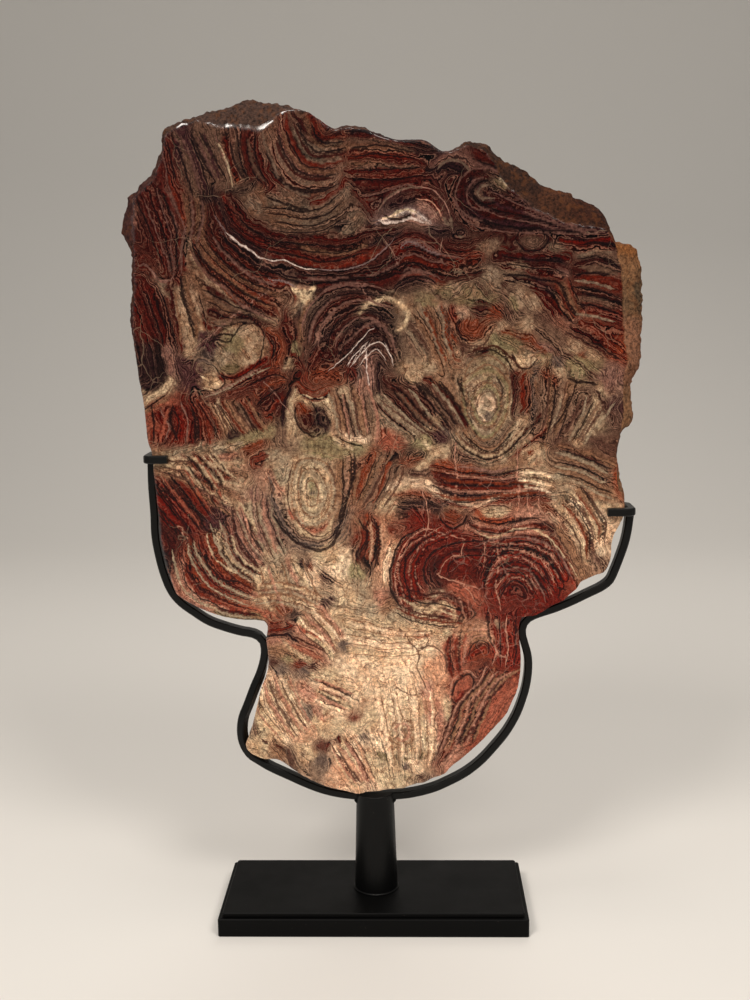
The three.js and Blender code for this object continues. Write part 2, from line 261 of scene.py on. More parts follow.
def ripple(place, size_mm, seed):
    """Smooth noise at places in mm (n rows of 2 or 3 numbers), lattice size in mm."""
    lattice = np.random.default_rng(seed).uniform(-1, 1, (CELLS, CELLS, CELLS))
    spot = np.column_stack([place, np.zeros(len(place))])[:, :3] / size_mm + LATTICE_START
    cell = np.floor(spot).astype(int)
    part = spot - cell
    part = part * part * (3 - 2 * part)
    total = np.zeros(len(place))
    for corner in np.ndindex(2, 2, 2):
        weight = np.ones(len(place))
        for axis in range(3):
            weight *= part[:, axis] if corner[axis] else 1 - part[:, axis]
        x, y, z = ((cell + corner) % CELLS).T
        total += weight * lattice[x, y, z]
    return total


def sway(place, size_mm, seed):
    """Smooth shifts in x and z at each place, between -1 and 1."""
    return np.column_stack([ripple(place, size_mm, seed), ripple(place, size_mm, seed + 1)])


print("ripple at three places:", ripple(np.array([[0, 0], [5, 0], [9, 4]]), 10, 1).round(2))

# %% [markdown]
# ## The body of the stone
#
# A diamond saw cut the slice and a wheel polished its front, so front and back are
# flat. The edge round it is what nature or a hammer left: broken stone, and at the
# top and the right a brown rind that weather made. So the mesh is a band of rows
# round the rim, pushed about by ripples, and two flat sheets that close it.
#
# The front sheet is a fine one, with a corner every 1.6 mm, because its corners carry
# the drawing of the layers further down. The back is coarser: it only has to be
# flat and dull.

# %% Bring the loops into step
def in_step(ring, guide):
    """Turns a ring's list round so that its corners lie beside the guide's."""
    shift = min(range(len(ring)), key=lambda k: np.abs(np.roll(ring, k, 0) - guide).sum())
    return np.roll(ring, shift, 0)


stack = [loops[depths[0]]]
for level_mm in depths[1:]:
    stack.append(in_step(loops[level_mm], stack[-1]))
stack = np.array(stack)

RIM_STEP_MM = 1.3
edge = stack[0]
side = np.linalg.norm(np.roll(edge, -1, 0) - edge, axis=1)
travel = np.concatenate([[0], np.cumsum(side)])
rim_count = int(travel[-1] / RIM_STEP_MM)
stops = np.interp(np.arange(rim_count) * travel[-1] / rim_count, travel, np.arange(len(travel)))
whole = stops.astype(int)
part = (stops - whole)[:, None]
rings = np.array([
    ring[whole] * (1 - part) + np.roll(ring, -1, 0)[whole] * part for ring in stack])
print("rim:", round(travel[-1]), "mm round,", rim_count, "corners in each row")

# %% Rows across the rim
ROW_DEPTHS = (-10, -9.5, -8.8, -7.6, -6.2, -4.9, -2.6, 0, 2.6, 4.9, 6.2, 7.4, 8.8, 9.7, 10)
rows = np.array([
    [[np.interp(y, depths, rings[:, i, k]) for k in (0, 1)] for i in range(rim_count)]
    for y in ROW_DEPTHS])

middle = rows[len(ROW_DEPTHS) // 2]
outward = np.roll(middle, -1, 0) - np.roll(middle, 1, 0)
outward = np.column_stack([outward[:, 1], -outward[:, 0]])
outward /= np.linalg.norm(outward, axis=1)[:, None]

# where the polished edge lies well inside the widest line, the rim is natural rind
RIND_FROM_MM = 2.6
RIND_FADE_MM = 1.6
widest = rings[len(rings) // 2]
overhang = ((widest - rings[0]) * outward).sum(1)
# it is averaged over 13 neighbours, so that the rind fades in and out
soft = np.exp(-np.linspace(-2, 2, 13) ** 2)
lap = len(soft) // 2
lapped = np.concatenate([overhang[-lap:], overhang, overhang[:lap]])
overhang = np.convolve(lapped, soft / soft.sum(), "valid")
rim_rind = np.clip((overhang - RIND_FROM_MM) / RIND_FADE_MM, 0, 1)
print("natural rind on", round(100 * rim_rind.mean()), "% of the rim")

# %% Roughen the rim
ROUGH_RIND_MM = 2.8
ROUGH_BREAK_MM = 1.2
CLEAR_BELOW_MM = 405
for row, y in enumerate(ROW_DEPTHS):
    spots = np.column_stack([rows[row][:, 0], rows[row][:, 1], np.full(rim_count, 1.7 * y)])
    # lumps of 8, 4 and 2 mm: rind is pushed both ways, a break only inwards
    lumps = 0.5 * ripple(spots, 8, 11) + 0.3 * ripple(spots, 3.6, 12) + 0.35 * ripple(spots, 2.1, 13)
    depth_mm = ROUGH_BREAK_MM + (ROUGH_RIND_MM - ROUGH_BREAK_MM) * rim_rind
    fade = 0.5 if y in (ROW_DEPTHS[0], ROW_DEPTHS[-1]) else 1
    push = fade * depth_mm * np.where(rim_rind > 0.3, lumps - 0.1, -np.abs(lumps))
    # the stand holds the stone by its lower part, so nothing may grow outwards there
    push = np.where(rows[row][:, 1] < CLEAR_BELOW_MM, np.minimum(push, 0), push)
    rows[row] += outward * push[:, None]
print("rim rows:", len(rows))

# %% Close the rim with two flat sheets
def inside(outline, spots):
    """True for each spot that a closed outline holds: a ray from it crosses an odd number of sides."""
    held = np.zeros(len(spots), bool)
    for a, b in zip(outline, np.roll(outline, -1, 0)):
        crosses = (a[1] > spots[:, 1]) != (b[1] > spots[:, 1])
        rise = b[1] - a[1] or 1e-9
        held ^= crosses & (spots[:, 0] < a[0] + (b[0] - a[0]) * (spots[:, 1] - a[1]) / rise)
    return held


ROW_STEP = 0.866
CLEAR_OF_RIM = 0.6


def close_sheet(outline, spacing):
    """Corners and triangles of a flat sheet: the outline's own corners come first.

    The corners inside stand in a net of even triangles. None stands so close to the
    outline that a sliver would form there.
    """
    low, high = outline.min(0), outline.max(0)
    xs = np.arange(low[0], high[0], spacing)
    zs = np.arange(low[1], high[1], spacing * ROW_STEP)
    grid = np.array([(x + spacing / 2 * (k % 2), z) for k, z in enumerate(zs) for x in xs])
    grid = grid[inside(outline, grid)]
    near = np.min([((grid - corner) ** 2).sum(1) for corner in outline], axis=0)
    grid = grid[near > (CLEAR_OF_RIM * spacing) ** 2]
    spots = np.concatenate([outline, grid])
    fence = [(i, (i + 1) % len(outline)) for i in range(len(outline))]
    made = delaunay_2d_cdt([Vector(p) for p in spots], fence, [], 0, 1e-5, True)
    origin = np.array([source[0] if source else -1 for source in made[3]])
    triangles = origin[np.array(made[2])]
    triangles = triangles[(triangles >= 0).all(1)]
    return grid, triangles[inside(outline, spots[triangles].mean(1))].tolist()


FRONT_MM = 1.6
BACK_MM = 6
front_grid, front_faces = close_sheet(rows[0], FRONT_MM)
back_grid, back_faces = close_sheet(rows[-1], BACK_MM)
print("front triangles:", len(front_faces), "back triangles:", len(back_faces))

# %% Put the stone together
SHARP_FROM_DEGREES = 38


def at_depth(flat_places, y):
    """Corners (x, y, z) for places (x, z), all at one depth."""
    return np.column_stack([flat_places[:, 0], np.full(len(flat_places), y), flat_places[:, 1]])


rim_corners = [at_depth(row, y) for row, y in zip(rows, ROW_DEPTHS)]
corners_mm = np.concatenate(
    [*rim_corners, at_depth(front_grid, ROW_DEPTHS[0]), at_depth(back_grid, ROW_DEPTHS[-1])])
front_start = len(ROW_DEPTHS) * rim_count
back_start = front_start + len(front_grid)
last_row = (len(ROW_DEPTHS) - 1) * rim_count

faces = []
for row in range(len(ROW_DEPTHS) - 1):
    for i in range(rim_count):
        j = (i + 1) % rim_count
        a, b = row * rim_count, (row + 1) * rim_count
        faces += [(a + i, a + j, b + j), (a + i, b + j, b + i)]
for face in front_faces:
    faces.append(tuple(c if c < rim_count else c - rim_count + front_start for c in face))
for face in back_faces:
    moved = [c + last_row if c < rim_count else c - rim_count + back_start for c in face]
    faces.append(tuple(reversed(moved)))

stone_mesh = bpy.data.meshes.new("stone")
stone_mesh.from_pydata((corners_mm * MM).tolist(), [], faces)
stone = bpy.data.objects.new("polished_stone", stone_mesh)
bpy.context.collection.objects.link(stone)
shell = bmesh.new()
shell.from_mesh(stone_mesh)
bmesh.ops.recalc_face_normals(shell, faces=shell.faces)
open_edges = sum(not e.is_manifold for e in shell.edges)
shell.to_mesh(stone_mesh)
shell.free()
stone_mesh.shade_smooth()
stone_mesh.set_sharp_from_angle(angle=math.radians(SHARP_FROM_DEGREES))
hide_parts("slab")
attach(stone, "root")
print("stone:", len(faces), "triangles,", open_edges, "open edges")

# %% [markdown]
# ## Drawing the layers
#
# The banding is colour inside the stone, so it isn't carved: the face stays flat. It
# is drawn instead, the way a scientific illustrator would ink a fossil. Each stroke is
# a layer: a shade, a width in mm, and a few places (x, z) that it runs through. A
# stroke with one place is a round spot.
#
# The shades follow the rock's minerals: iron oxide (haematite) gives red to maroon,
# with manganese it turns plum, carbonate is cream, and reduced iron is sage green.

# %% Shades of the rock
SHADES = {
    "ink": "#1c0d0e", "plum": "#2b1719", "purple": "#46272a", "maroon": "#40130f",
    "oxblood": "#53160e", "brick": "#6a2616", "rust": "#793820", "orange": "#95492c",
    "red": "#66170b", "scarlet": "#7a2110", "salmon": "#9c5c48", "rose": "#b08470",
    "pinkgrey": "#8b6a5e", "tan": "#8c6b53", "drab": "#7a6150", "cocoa": "#5c3f34",
    "sage": "#928768", "olive": "#76674c", "greycream": "#a3937c", "cream": "#c3ae90",
    "ivory": "#e4ccae", "peach": "#c8a083", "white": "#c0b0a6", "slate": "#66564e",
}
print("shades:", len(SHADES))

# %% How a stroke is written
strokes = []


def places(text):
    """Places in mm, written x,z x,z ..."""
    return [tuple(float(number) for number in pair.split(",")) for pair in text.split()]


def draw(text):
    """One stroke to a line: its shade, its width in mm, then its places.

    A shade with ! is spared the painted shade that darkens the top, further down.
    """
    for line in text.strip().splitlines():
        shade, width, run = line.split(maxsplit=2)
        strokes.append((shade, float(width), *places(run)))
    print("strokes so far:", len(strokes))

# %% Strokes: upper left shoulder
draw("""
purple 9  -137,645 -141,622
oxblood 12  -151,638 -153,610
pinkgrey 1.3  -157,632 -153,618 -151,604
ink 1.4  -150,634 -147,620 -145,606
drab 14  -124,644 -116,622 -108,603
ink 2  -125,641 -118,628 -112,618
ink 2  -132,641 -124,622 -116,605
greycream! 1.6  -112,634 -107,624 -103,612 -101,600
greycream 2.5  -113,633 -109,627 -105,620 -103,612 -102,605 -99,600
rust 4  -106,630 -102,615 -98,604
plum 12  -124,595 -115,593
ink 2.5  -108,597 -100,597 -92,598 -87,601 -82,605
tan 20  -86,591 -80,588
greycream 9  -88,592 -82,584
brick 3  -149,607 -146,598 -142,588 -140,578 -138,570 -137,565
orange 2.5  -140,578 -138,569
pinkgrey 2.5  -153,600 -149,590 -147,578 -144,568 -138,560
maroon 6  -178,600 -172,585 -167,570 -158,555
oxblood 5  -171,604 -165,590 -160,575 -152,560
maroon 3  -163,606 -158,592 -154,577 -147,562
rose 3  -177,585
rose 2  -178,577 -178,570
ink 2.5  -136,575 -139,560 -141,552
tan 5  -134,590 -131,580 -133,570
drab 5  -135,567 -132,557 -126,545
maroon 9  -118,586 -114,574 -118,562
red 3  -108,594 -104,582 -98,572 -88,562 -75,556
maroon 4  -103,595 -98,584 -91,574 -80,567 -66,562
plum 4  -112,592 -109,580 -103,570 -93,559 -80,552
white! 1.3  -107,565 -98,558 -91,553 -84,548 -78,545
white 1.1  -116,579 -112,572 -107,565
""")

# %% Strokes: the bowl at the top
draw("""
oxblood 10  -88,640 -86,622 -78,608 -68,596
cocoa 6  -97,640 -96,622 -90,608
cream 5  -70,641 -68,632 -64,622 -58,612 -50,604 -40,601 -32,600 -25,604 -20,610 -17,615
greycream 2  -76,640 -75,630 -71,620 -67,610 -60,600 -52,595 -42,592
rose 2.5  -64,640 -60,630 -54,620 -47,612 -38,608 -30,610 -24,615
brick 3  -60,645 -56,633 -50,622 -42,615 -35,614 -27,618
greycream 4  -52,641 -47,633 -40,628 -32,626 -25,629 -18,631
ink 2.2  -54,638 -49,628 -42,622 -35,620 -29,623
maroon 6  -50,648 -44,640 -36,634 -28,635 -18,638
ink 2  -72,612 -62,602 -50,598 -36,596 -24,599
plum 4  -10,637 15,636 38,631
tan 3  -14,628 10,627 35,624
brick 4  -16,621 10,622 38,620
tan 5  -10,617 10,616 17,614
oxblood 5  -15,611 0,611 15,610 40,616
maroon 6  -8,603 20,604 48,606
pinkgrey 1.1  -2,592 10,593 25,598 38,600
drab 12  -12,597 -15,588 -25,580 -35,575
greycream 8  -12,598 -20,586 -32,578
greycream 6  -4,576 -14,567
red 3  -15,604 -22,595 -32,588 -40,586
greycream 4  -19,600 -24,590 -34,582 -44,578
tan 20  -72,580 -52,574
ink 2  -75,592 -65,588 -50,583 -42,581
greycream 3  -72,588 -60,585 -48,580
plum 5  -22,571 -10,572
ink 4  -45,585
ink 4  -38,578
plum 5  -92,566 -75,561 -58,559 -40,560
""")

# %% Strokes: the white crescent and the dark bowl under it
draw("""
white! 0.9  -78,545 -72,544 -62,544 -56,541 -46,537 -38,537
white 1  -38,537 -25,536 -12,537 0,541 10,547 18,554 23,560
pinkgrey 3  -82,542 -76,541
brick 4  -55,553 -48,547 -38,543 -20,541 -5,545 8,552
tan 3  -53,558 -44,552 -30,549 -15,549 0,554
maroon 4  -50,563 -35,556 -15,556 0,560
plum 9  -72,536 -50,531 -30,531 -10,532 10,535 22,543 32,550
pinkgrey 1.6  -45,530 -30,529 -15,531
maroon 12  -56,520 -20,527 15,529 40,540
brick 3  -85,532 -72,528 -62,526 -56,521 -55,515
white 1.6  -75,530 -62,527 -54,523
tan 4  -134,535 -129,525 -122,516 -114,511 -107,505 -100,498
cream 3.5  -137,562 -133,545 -126,535 -117,525 -105,513 -95,505 -85,502 -72,497
orange 4  -131,545 -122,532 -110,521 -98,511 -88,505
tan 3  -128,558 -122,545 -112,535 -100,525 -88,515 -76,508
brick 5  -120,555 -108,543 -95,534 -82,528 -70,524
plum 8  -112,560 -100,548 -88,540 -72,535
oxblood 9  -160,555 -150,545 -146,530
pinkgrey 1.6  -176,541 -172,542 -167,539 -164,534 -161,530 -155,529 -150,531
greycream 2.4  -160,526 -157,520 -153,517
oxblood 16  -174,530 -170,505 -163,482
maroon 3  -173,520 -168,505 -163,490 -160,478
ink 2  -166,520 -161,505 -157,492
cream 5  -147,515 -147,505 -143,495 -140,485 -141,475
tan 2.5  -140,532 -139,520 -134,505 -126,492
ink 2  -144,535 -143,520 -139,505 -134,492
oxblood 5  -136,515 -130,502 -122,492
""")

# %% Strokes: left side between the arms of the folds
draw("""
greycream 10  -118,468 -110,472
sage 12  -108,478 -96,482
cream 8  -98,487 -88,486
cream 11  -92,484 -90,474 -95,466
cream 3  -96,490 -88,492 -84,482
tan 5  -98,476 -92,468
olive 6  -112,462 -102,460
ink 1.6  -122,480 -117,487 -105,488
cream! 7  -121,450 -117,451
ink 1.2  -126,446 -118,444 -112,450 -116,456
cream! 1.6  -131,455 -125,452
cream! 1.4  -130,446 -122,444
slate 9  -126,476 -122,470
ink 1.2  -130,480 -118,484 -108,482 -98,494 -86,496 -80,486 -84,468 -96,456 -112,454 -120,462 -128,466
plum 18  -172,474 -168,446
ink 5  -166,486 -164,470 -163,452
purple 12  -148,468 -138,448
maroon 14  -120,520 -96,506 -76,498
oxblood 10  -100,524 -74,514
purple 8  -128,490 -122,474
pinkgrey 8  -156,477 -156,471
cream 3  -178,434 -170,440 -162,446 -156,452
ink 1.4  -178,440 -170,446 -162,452
ink 1.5  -178,429 -168,435 -160,441
pinkgrey 4  -154,458 -153,474
red 2.5  -118,452 -105,456 -92,461 -80,466
greycream 0.9  -128,438 -112,444 -98,452 -85,458 -75,462
oxblood 5  -126,435 -108,440 -92,447 -76,455
rust 5  -79,491 -70,487 -66,477 -69,467 -76,459
brick 3  -80,488 -73,484 -70,476 -73,467
ink 1.5  -76,486 -72,478 -74,468
maroon 2.5  -64,492 -60,478 -64,464
brick 10  -170,414 -156,410
salmon 2.4  -176,422 -164,432 -152,434
salmon 2  -166,402 -162,418 -158,430
oxblood 8  -172,430 -160,424 -150,428
red 12  -150,425 -144,408
ink 2  -155,432 -157,420 -152,405
ink 2  -140,432 -137,418 -138,402
tan 3  -176,428 -168,430 -160,436
salmon 5  -172,416 -162,414
brick 5  -134,435 -128,420 -126,402
cocoa 3  -127,440 -124,425 -120,412
cream 3  -118,438 -116,425 -110,413
tan 3  -113,437 -107,425 -100,415
drab 6  -100,432 -94,416
maroon 18  -82,432 -70,440
maroon 9  -67,444 -70,426
plum 4  -61,444 -66,430 -67,418
drab 10  -70,410 -62,400
oxblood 6  -90,452 -80,460 -70,462
cocoa 8  -92,424 -86,414
ink 1.4  -96,446 -84,452 -72,456 -62,452
ink 1.4  -88,432 -78,440 -68,446
rust 2.4  -84,440 -76,448 -66,452
brick 3  -80,424 -72,434 -64,438
plum 8  -110,407 -103,407
sage 7  -112,400 -98,404 -88,408 -78,411
greycream 7  -156,392 -140,395 -125,396 -112,398 -100,402
rose 4  -120,388 -108,392
brick 4  -90,388 -80,392
rust 6  -98,396 -84,402
""")

# %% Strokes: long healed cracks
draw("""
pinkgrey! 0.6  -143,470 -122,487 -100,504 -80,520
pinkgrey! 0.4  -109,499 -92,510 -75,521
pinkgrey! 0.6  -131,437 -108,448 -84,461
pinkgrey! 0.6  -178,542 -170,541 -163,532 -155,530 -150,532
pinkgrey! 0.6  60,560 58,548 60,540
pinkgrey! 0.6  -86,454 -76,444 -66,432 -60,424
pinkgrey! 0.6  -6,528 0,518 6,511
pinkgrey! 0.5  14,560 22,548 26,536
""")

# %% Strokes: the arches in the middle
draw("""
cream! 4  -57,524 -51,518 -47,511
cream! 4  -39,524 -44,518 -47,511
cream! 4  -48,522 -47,514
tan 4  -48,508 -51,494 -52,478
cream 8  -50,514 -47,508
ivory 3  -55,523 -40,523
ivory 5  -47,510 -51,505
oxblood 12  -62,500 -58,480 -52,462
pinkgrey 1.3  -50,495 -46,505 -38,515 -28,521 -15,524 0,523
oxblood 9  -44,462 -34,478 -20,480
maroon 8  -38,494 -24,500 -10,506
pinkgrey 1.8  -45,480 -42,493 -36,504 -28,512 -18,516
pinkgrey 3.5  -40,480 -36,492 -28,500 -20,501
plum 3  -53,500 -48,512 -38,520 -25,524
maroon 5  -30,506 -18,508 -6,513
cream! 3.4  -5,502 0,509 8,511 15,514 22,512 30,507 33,500 28,492 24,489
greycream 4  24,509 32,502
plum 4  -44,470 -38,480 -28,487 -18,490 -8,497 2,503 10,502 18,495 23,487 22,478
pinkgrey 1.8  -20,475 -10,486 0,493 7,496 14,491 20,483 23,470
ink 8  -36,476 -26,482
maroon 5  -30,470 -20,480 -8,488 4,490 13,484 18,474
white! 0.8  -13,461 -7,468 0,475 8,480 14,478 18,470 21,462
white! 0.6  -6,462 1,470 9,474 15,466
white! 0.7  -30,458 -20,466 -10,476 0,487 8,492
white! 0.7  -16,462 -8,472 2,481
plum 4  -18,464 -10,474 0,482 9,485 16,478
pinkgrey! 6  1,466 3,446
white! 0.7  0,474 0,460 2,444
slate 3  -6,462 -6,440
plum 3  8,462 9,442
oxblood 7  -14,464 -10,452
rose 3  -5,452 -6,440
rust 8  -41,454 -32,456 -22,452
cocoa 8  -53,500 -50,480 -48,464
maroon 11  -40,474 -28,469
sage 9  -56,481 -54,472
cream 8  -63,466 -60,464
brick 5  -50,453
maroon 3  -62,448 -56,458
cream 5  -22,440 -16,440
drab 4  26,494 34,482 42,470
cocoa 3  30,498 39,487 47,474
greycream 2.5  27,494 35,485 40,476 45,468
cream 9  33,457 40,452
rose 2  0,447 4,435 7,425 8,412 6,400
""")

# %% Strokes: upper right
draw("""
plum 8  28,626 48,622 58,622
oxblood 8  20,612 40,600 55,580
cocoa 10  90,618 110,606 130,592
oxblood 6  85,622 105,611 128,598
pinkgrey 2.4  52,613 60,619 68,622 76,620 82,614 87,610
greycream 1.8  56,610 60,615 69,617 76,614 81,608
plum 5  45,608 55,611 66,612 76,608 82,602
pinkgrey 1.3  96,611 80,609 71,598 71,584 82,574 98,571
maroon 3  92,606 82,608 72,603 68,592 72,582
drab 6  87,594 92,591
greycream! 2.6  103,603 106,600 109,597
greycream 1.6  99,589 91,588 87,592 90,597 98,598
ink 1.5  101,586 90,584 83,590 86,599 97,602
pinkgrey 1.2  102,582 88,580 79,588 82,600 93,605
maroon 3  103,579 86,576 75,587 77,602 90,609
maroon 4  22,586 35,590 48,592 56,588
pinkgrey! 6  42,584 49,581 55,574
rose! 0.9  40,589 50,587 57,580 60,572
pinkgrey! 1.2  42,584 50,581 55,574
white! 2.8  12,573 20,575 25,577 32,580 39,578 46,574 52,569
ivory! 1.2  13,574 21,576 27,579 33,581 40,578
drab 4  14,570 30,573 46,569
maroon 5  -2,562 10,564 22,564
plum 4  2,554 14,560 26,563
maroon 3  -8,601 6,595 22,602 44,605
oxblood 3  -12,598 -2,588 6,578
purple 5  22,586 34,588
pinkgrey! 3  14,571 26,574 38,572 48,569
white! 1.8  11,573 17,571 26,572 36,574 46,571
pinkgrey! 0.9  9,577 14,585 24,593 36,597 50,596 60,588 66,574 68,564
plum 4  20,584 30,588 40,588
greycream! 1.6  22,578 32,581 40,579
greycream 1.3  10,580 16,588 24,594 35,597 45,596
ink 2  14,577 20,574 28,574 36,577
greycream 2  60,575 64,568
greycream 2  66,575 68,566
greycream 2  72,560 76,560
plum 4  48,566 60,562 75,565
maroon 6  68,586 90,582 110,577 130,574
plum 3  75,576 95,572 115,571 135,569
brick 4  93,577 106,574 120,575
drab 9  125,558 132,557
ink 1.4  116,558 123,566 134,565 141,557 134,549 123,549 116,558
cream 3  90,553 98,555
sage 4  105,599 109,598
sage 3  102,603
red 6  24,547 32,556 41,557 51,551 60,547
white 1.6  28,553 34,557 42,554 50,549 60,546
maroon 8  36,544 50,541 66,546
brick 8  60,542 76,543 88,545
maroon 5  58,556 76,553 94,560 112,564
pinkgrey 2.4  25,527 33,533 42,533 52,527
plum 4  24,521 34,527 44,526
maroon 10  100,590 120,583
pinkgrey 1.6  118,584 140,575 155,569 170,564 185,561
pinkgrey 1.6  122,578 142,570 158,565 176,560
pinkgrey 1.6  112,590 132,583 148,575 166,568
plum 4  136,572 155,560 175,554 192,552
red 3  150,556 165,553 180,556 190,556
greycream 4  146,550 149,550
greycream 2  152,545
drab 6  172,545 180,547 188,543 193,540
drab 4  175,533 185,533 192,530
plum 3  168,540 180,541 194,535
brick 4  168,525 180,524 193,519
ink 2.5  168,517 182,512 197,508
maroon 7  160,535 168,528
greycream 7.5  112,532 124,537
cream 3  114,538 122,541
oxblood 6  166,507 180,502 196,496
""")

# %% Strokes: the pale clotted zone
draw("""
sage 11  46,512 60,515 80,515 98,512
cream 3  50,519 54,521
cream 3  68,524 73,522
cream 2.6  82,520 85,517
cream 3  94,525 98,523
maroon 5  50,531 70,530 92,533
cream 2.6  58,499 61,496
cream 2.6  86,477 92,479
cream 2.6  103,489 107,492
cream 3  121,493 125,491
cream 2.6  130,512 133,508
cream 3  62,470 68,472
cream 3  44,463 49,460
cream 2.6  138,465 143,467
cream 2.6  150,456 154,453
cream 2.6  160,474 165,472
cream 2.6  170,468 175,466
cocoa 2.4  55,513 59,515
cocoa 2.4  91,515 95,517
cocoa 2.4  111,500 114,503
cocoa 2.6  135,500 139,497
cocoa 2.6  147,470 151,468
cocoa 2.4  76,474 80,472
cocoa 2.4  117,484 121,482
cocoa 2.4  48,522 62,511 76,520
cream 3  52,512 62,510
cocoa 2.2  88,524 96,512
plum 6  108,545 128,542 150,541
maroon 5  100,542 125,543 150,535
oxblood 7  132,522 142,510 150,500
drab 14  108,520 117,510 117,498
sage 6  112,514 118,504
cocoa 2.4  106,510 114,498
cream 3  118,520 124,512
greycream 9  92,533 100,528 106,522
sage 14  98,475 118,480
cream 8  68,518 74,517
ivory 5  59,508
ivory 5  75,503
rust 13  72,492 84,488 92,490
rust 8  66,504 68,496
rust 8  98,500 106,504
cocoa 1.2  60,506 64,493 72,480 82,476 92,478 99,488
maroon 5  84,504 92,503
ink 2  74,498 71,490 75,483 80,480
red 5  66,507 69,496
maroon 6  85,509 95,508
cocoa 6  105,503 113,499
cream! 9  119,466 128,466
ink 1.3  114,470 119,460 128,459 134,466
sage 7  140,468
maroon 1.6  80,471 88,474 94,475 101,476 108,471 115,465 122,457
maroon 3  93,473
rust 3  106,487 126,480
greycream 28  94,452 93,424
sage 10  95,458 94,446
tan 1  78,440 77,455 85,467 100,467 110,455 112,435 106,415 97,403 86,406 80,420 78,440
ink 1.3  74,452 77,432 82,416 88,402
ink 1.2  84,470 96,473 108,467 116,455
ink 2  71,451 75,440 79,430
ink 1.6  101,455 106,442 104,430 98,418
ivory 3  90,448 87,438 88,426 92,416
sage 4  96,450 93,440
ivory 2  93,437 99,434 98,427 91,428 92,436
slate 7  92,421 96,421
cream 4  103,446 111,437 110,424 103,411
brick 5  122,452 122,440 123,428
rust 2.4  126,450 127,438 125,426
slate 3.5  131,456 129,444 131,432 129,418
maroon 4  127,446 129,432 124,424
maroon 4  117,450 117,436 114,423
tan 4  128,456 131,445 130,430 128,420
drab 12  140,440 148,420
rust 6  138,455 148,447
drab 10  136,484 150,478
pinkgrey 4  134,478 146,472
rust 3  128,480 140,470
ink 1  130,490 142,480 152,470
slate 7  146,466 152,462
sage 12  160,462 176,460
cocoa 2.4  154,468 166,462 176,452
rust 3  166,470 172,466
ink 2  157,450 165,447 172,447 180,445
cream 9  112,516 122,507
maroon 5  107,523
purple 5  130,528 138,522 148,514
purple 4  122,541 132,545
tan 6  152,520 160,510 168,500
brick 4  146,512 154,503 162,495
pinkgrey 5  148,536 156,530
brick 5  163,496 175,490 184,483 192,475 199,469
orange 3  194,474 199,470
ink 1.6  175,478 183,475 190,469 198,465
maroon 4  162,487 174,482 184,474
rose 2.4  150,499 158,494 166,497 172,505
pinkgrey 9  192,456 188,444
purple 5  189,428 194,428
cocoa 4  176,436 166,425 156,412 148,400
cocoa 4  172,404 196,393
cocoa 3  180,440 192,420
cream 6  183,441 179,425 173,410 165,398
maroon 3.5  140,425 130,413 118,402 105,393
brick 3  146,418 136,406 124,396 112,388
""")

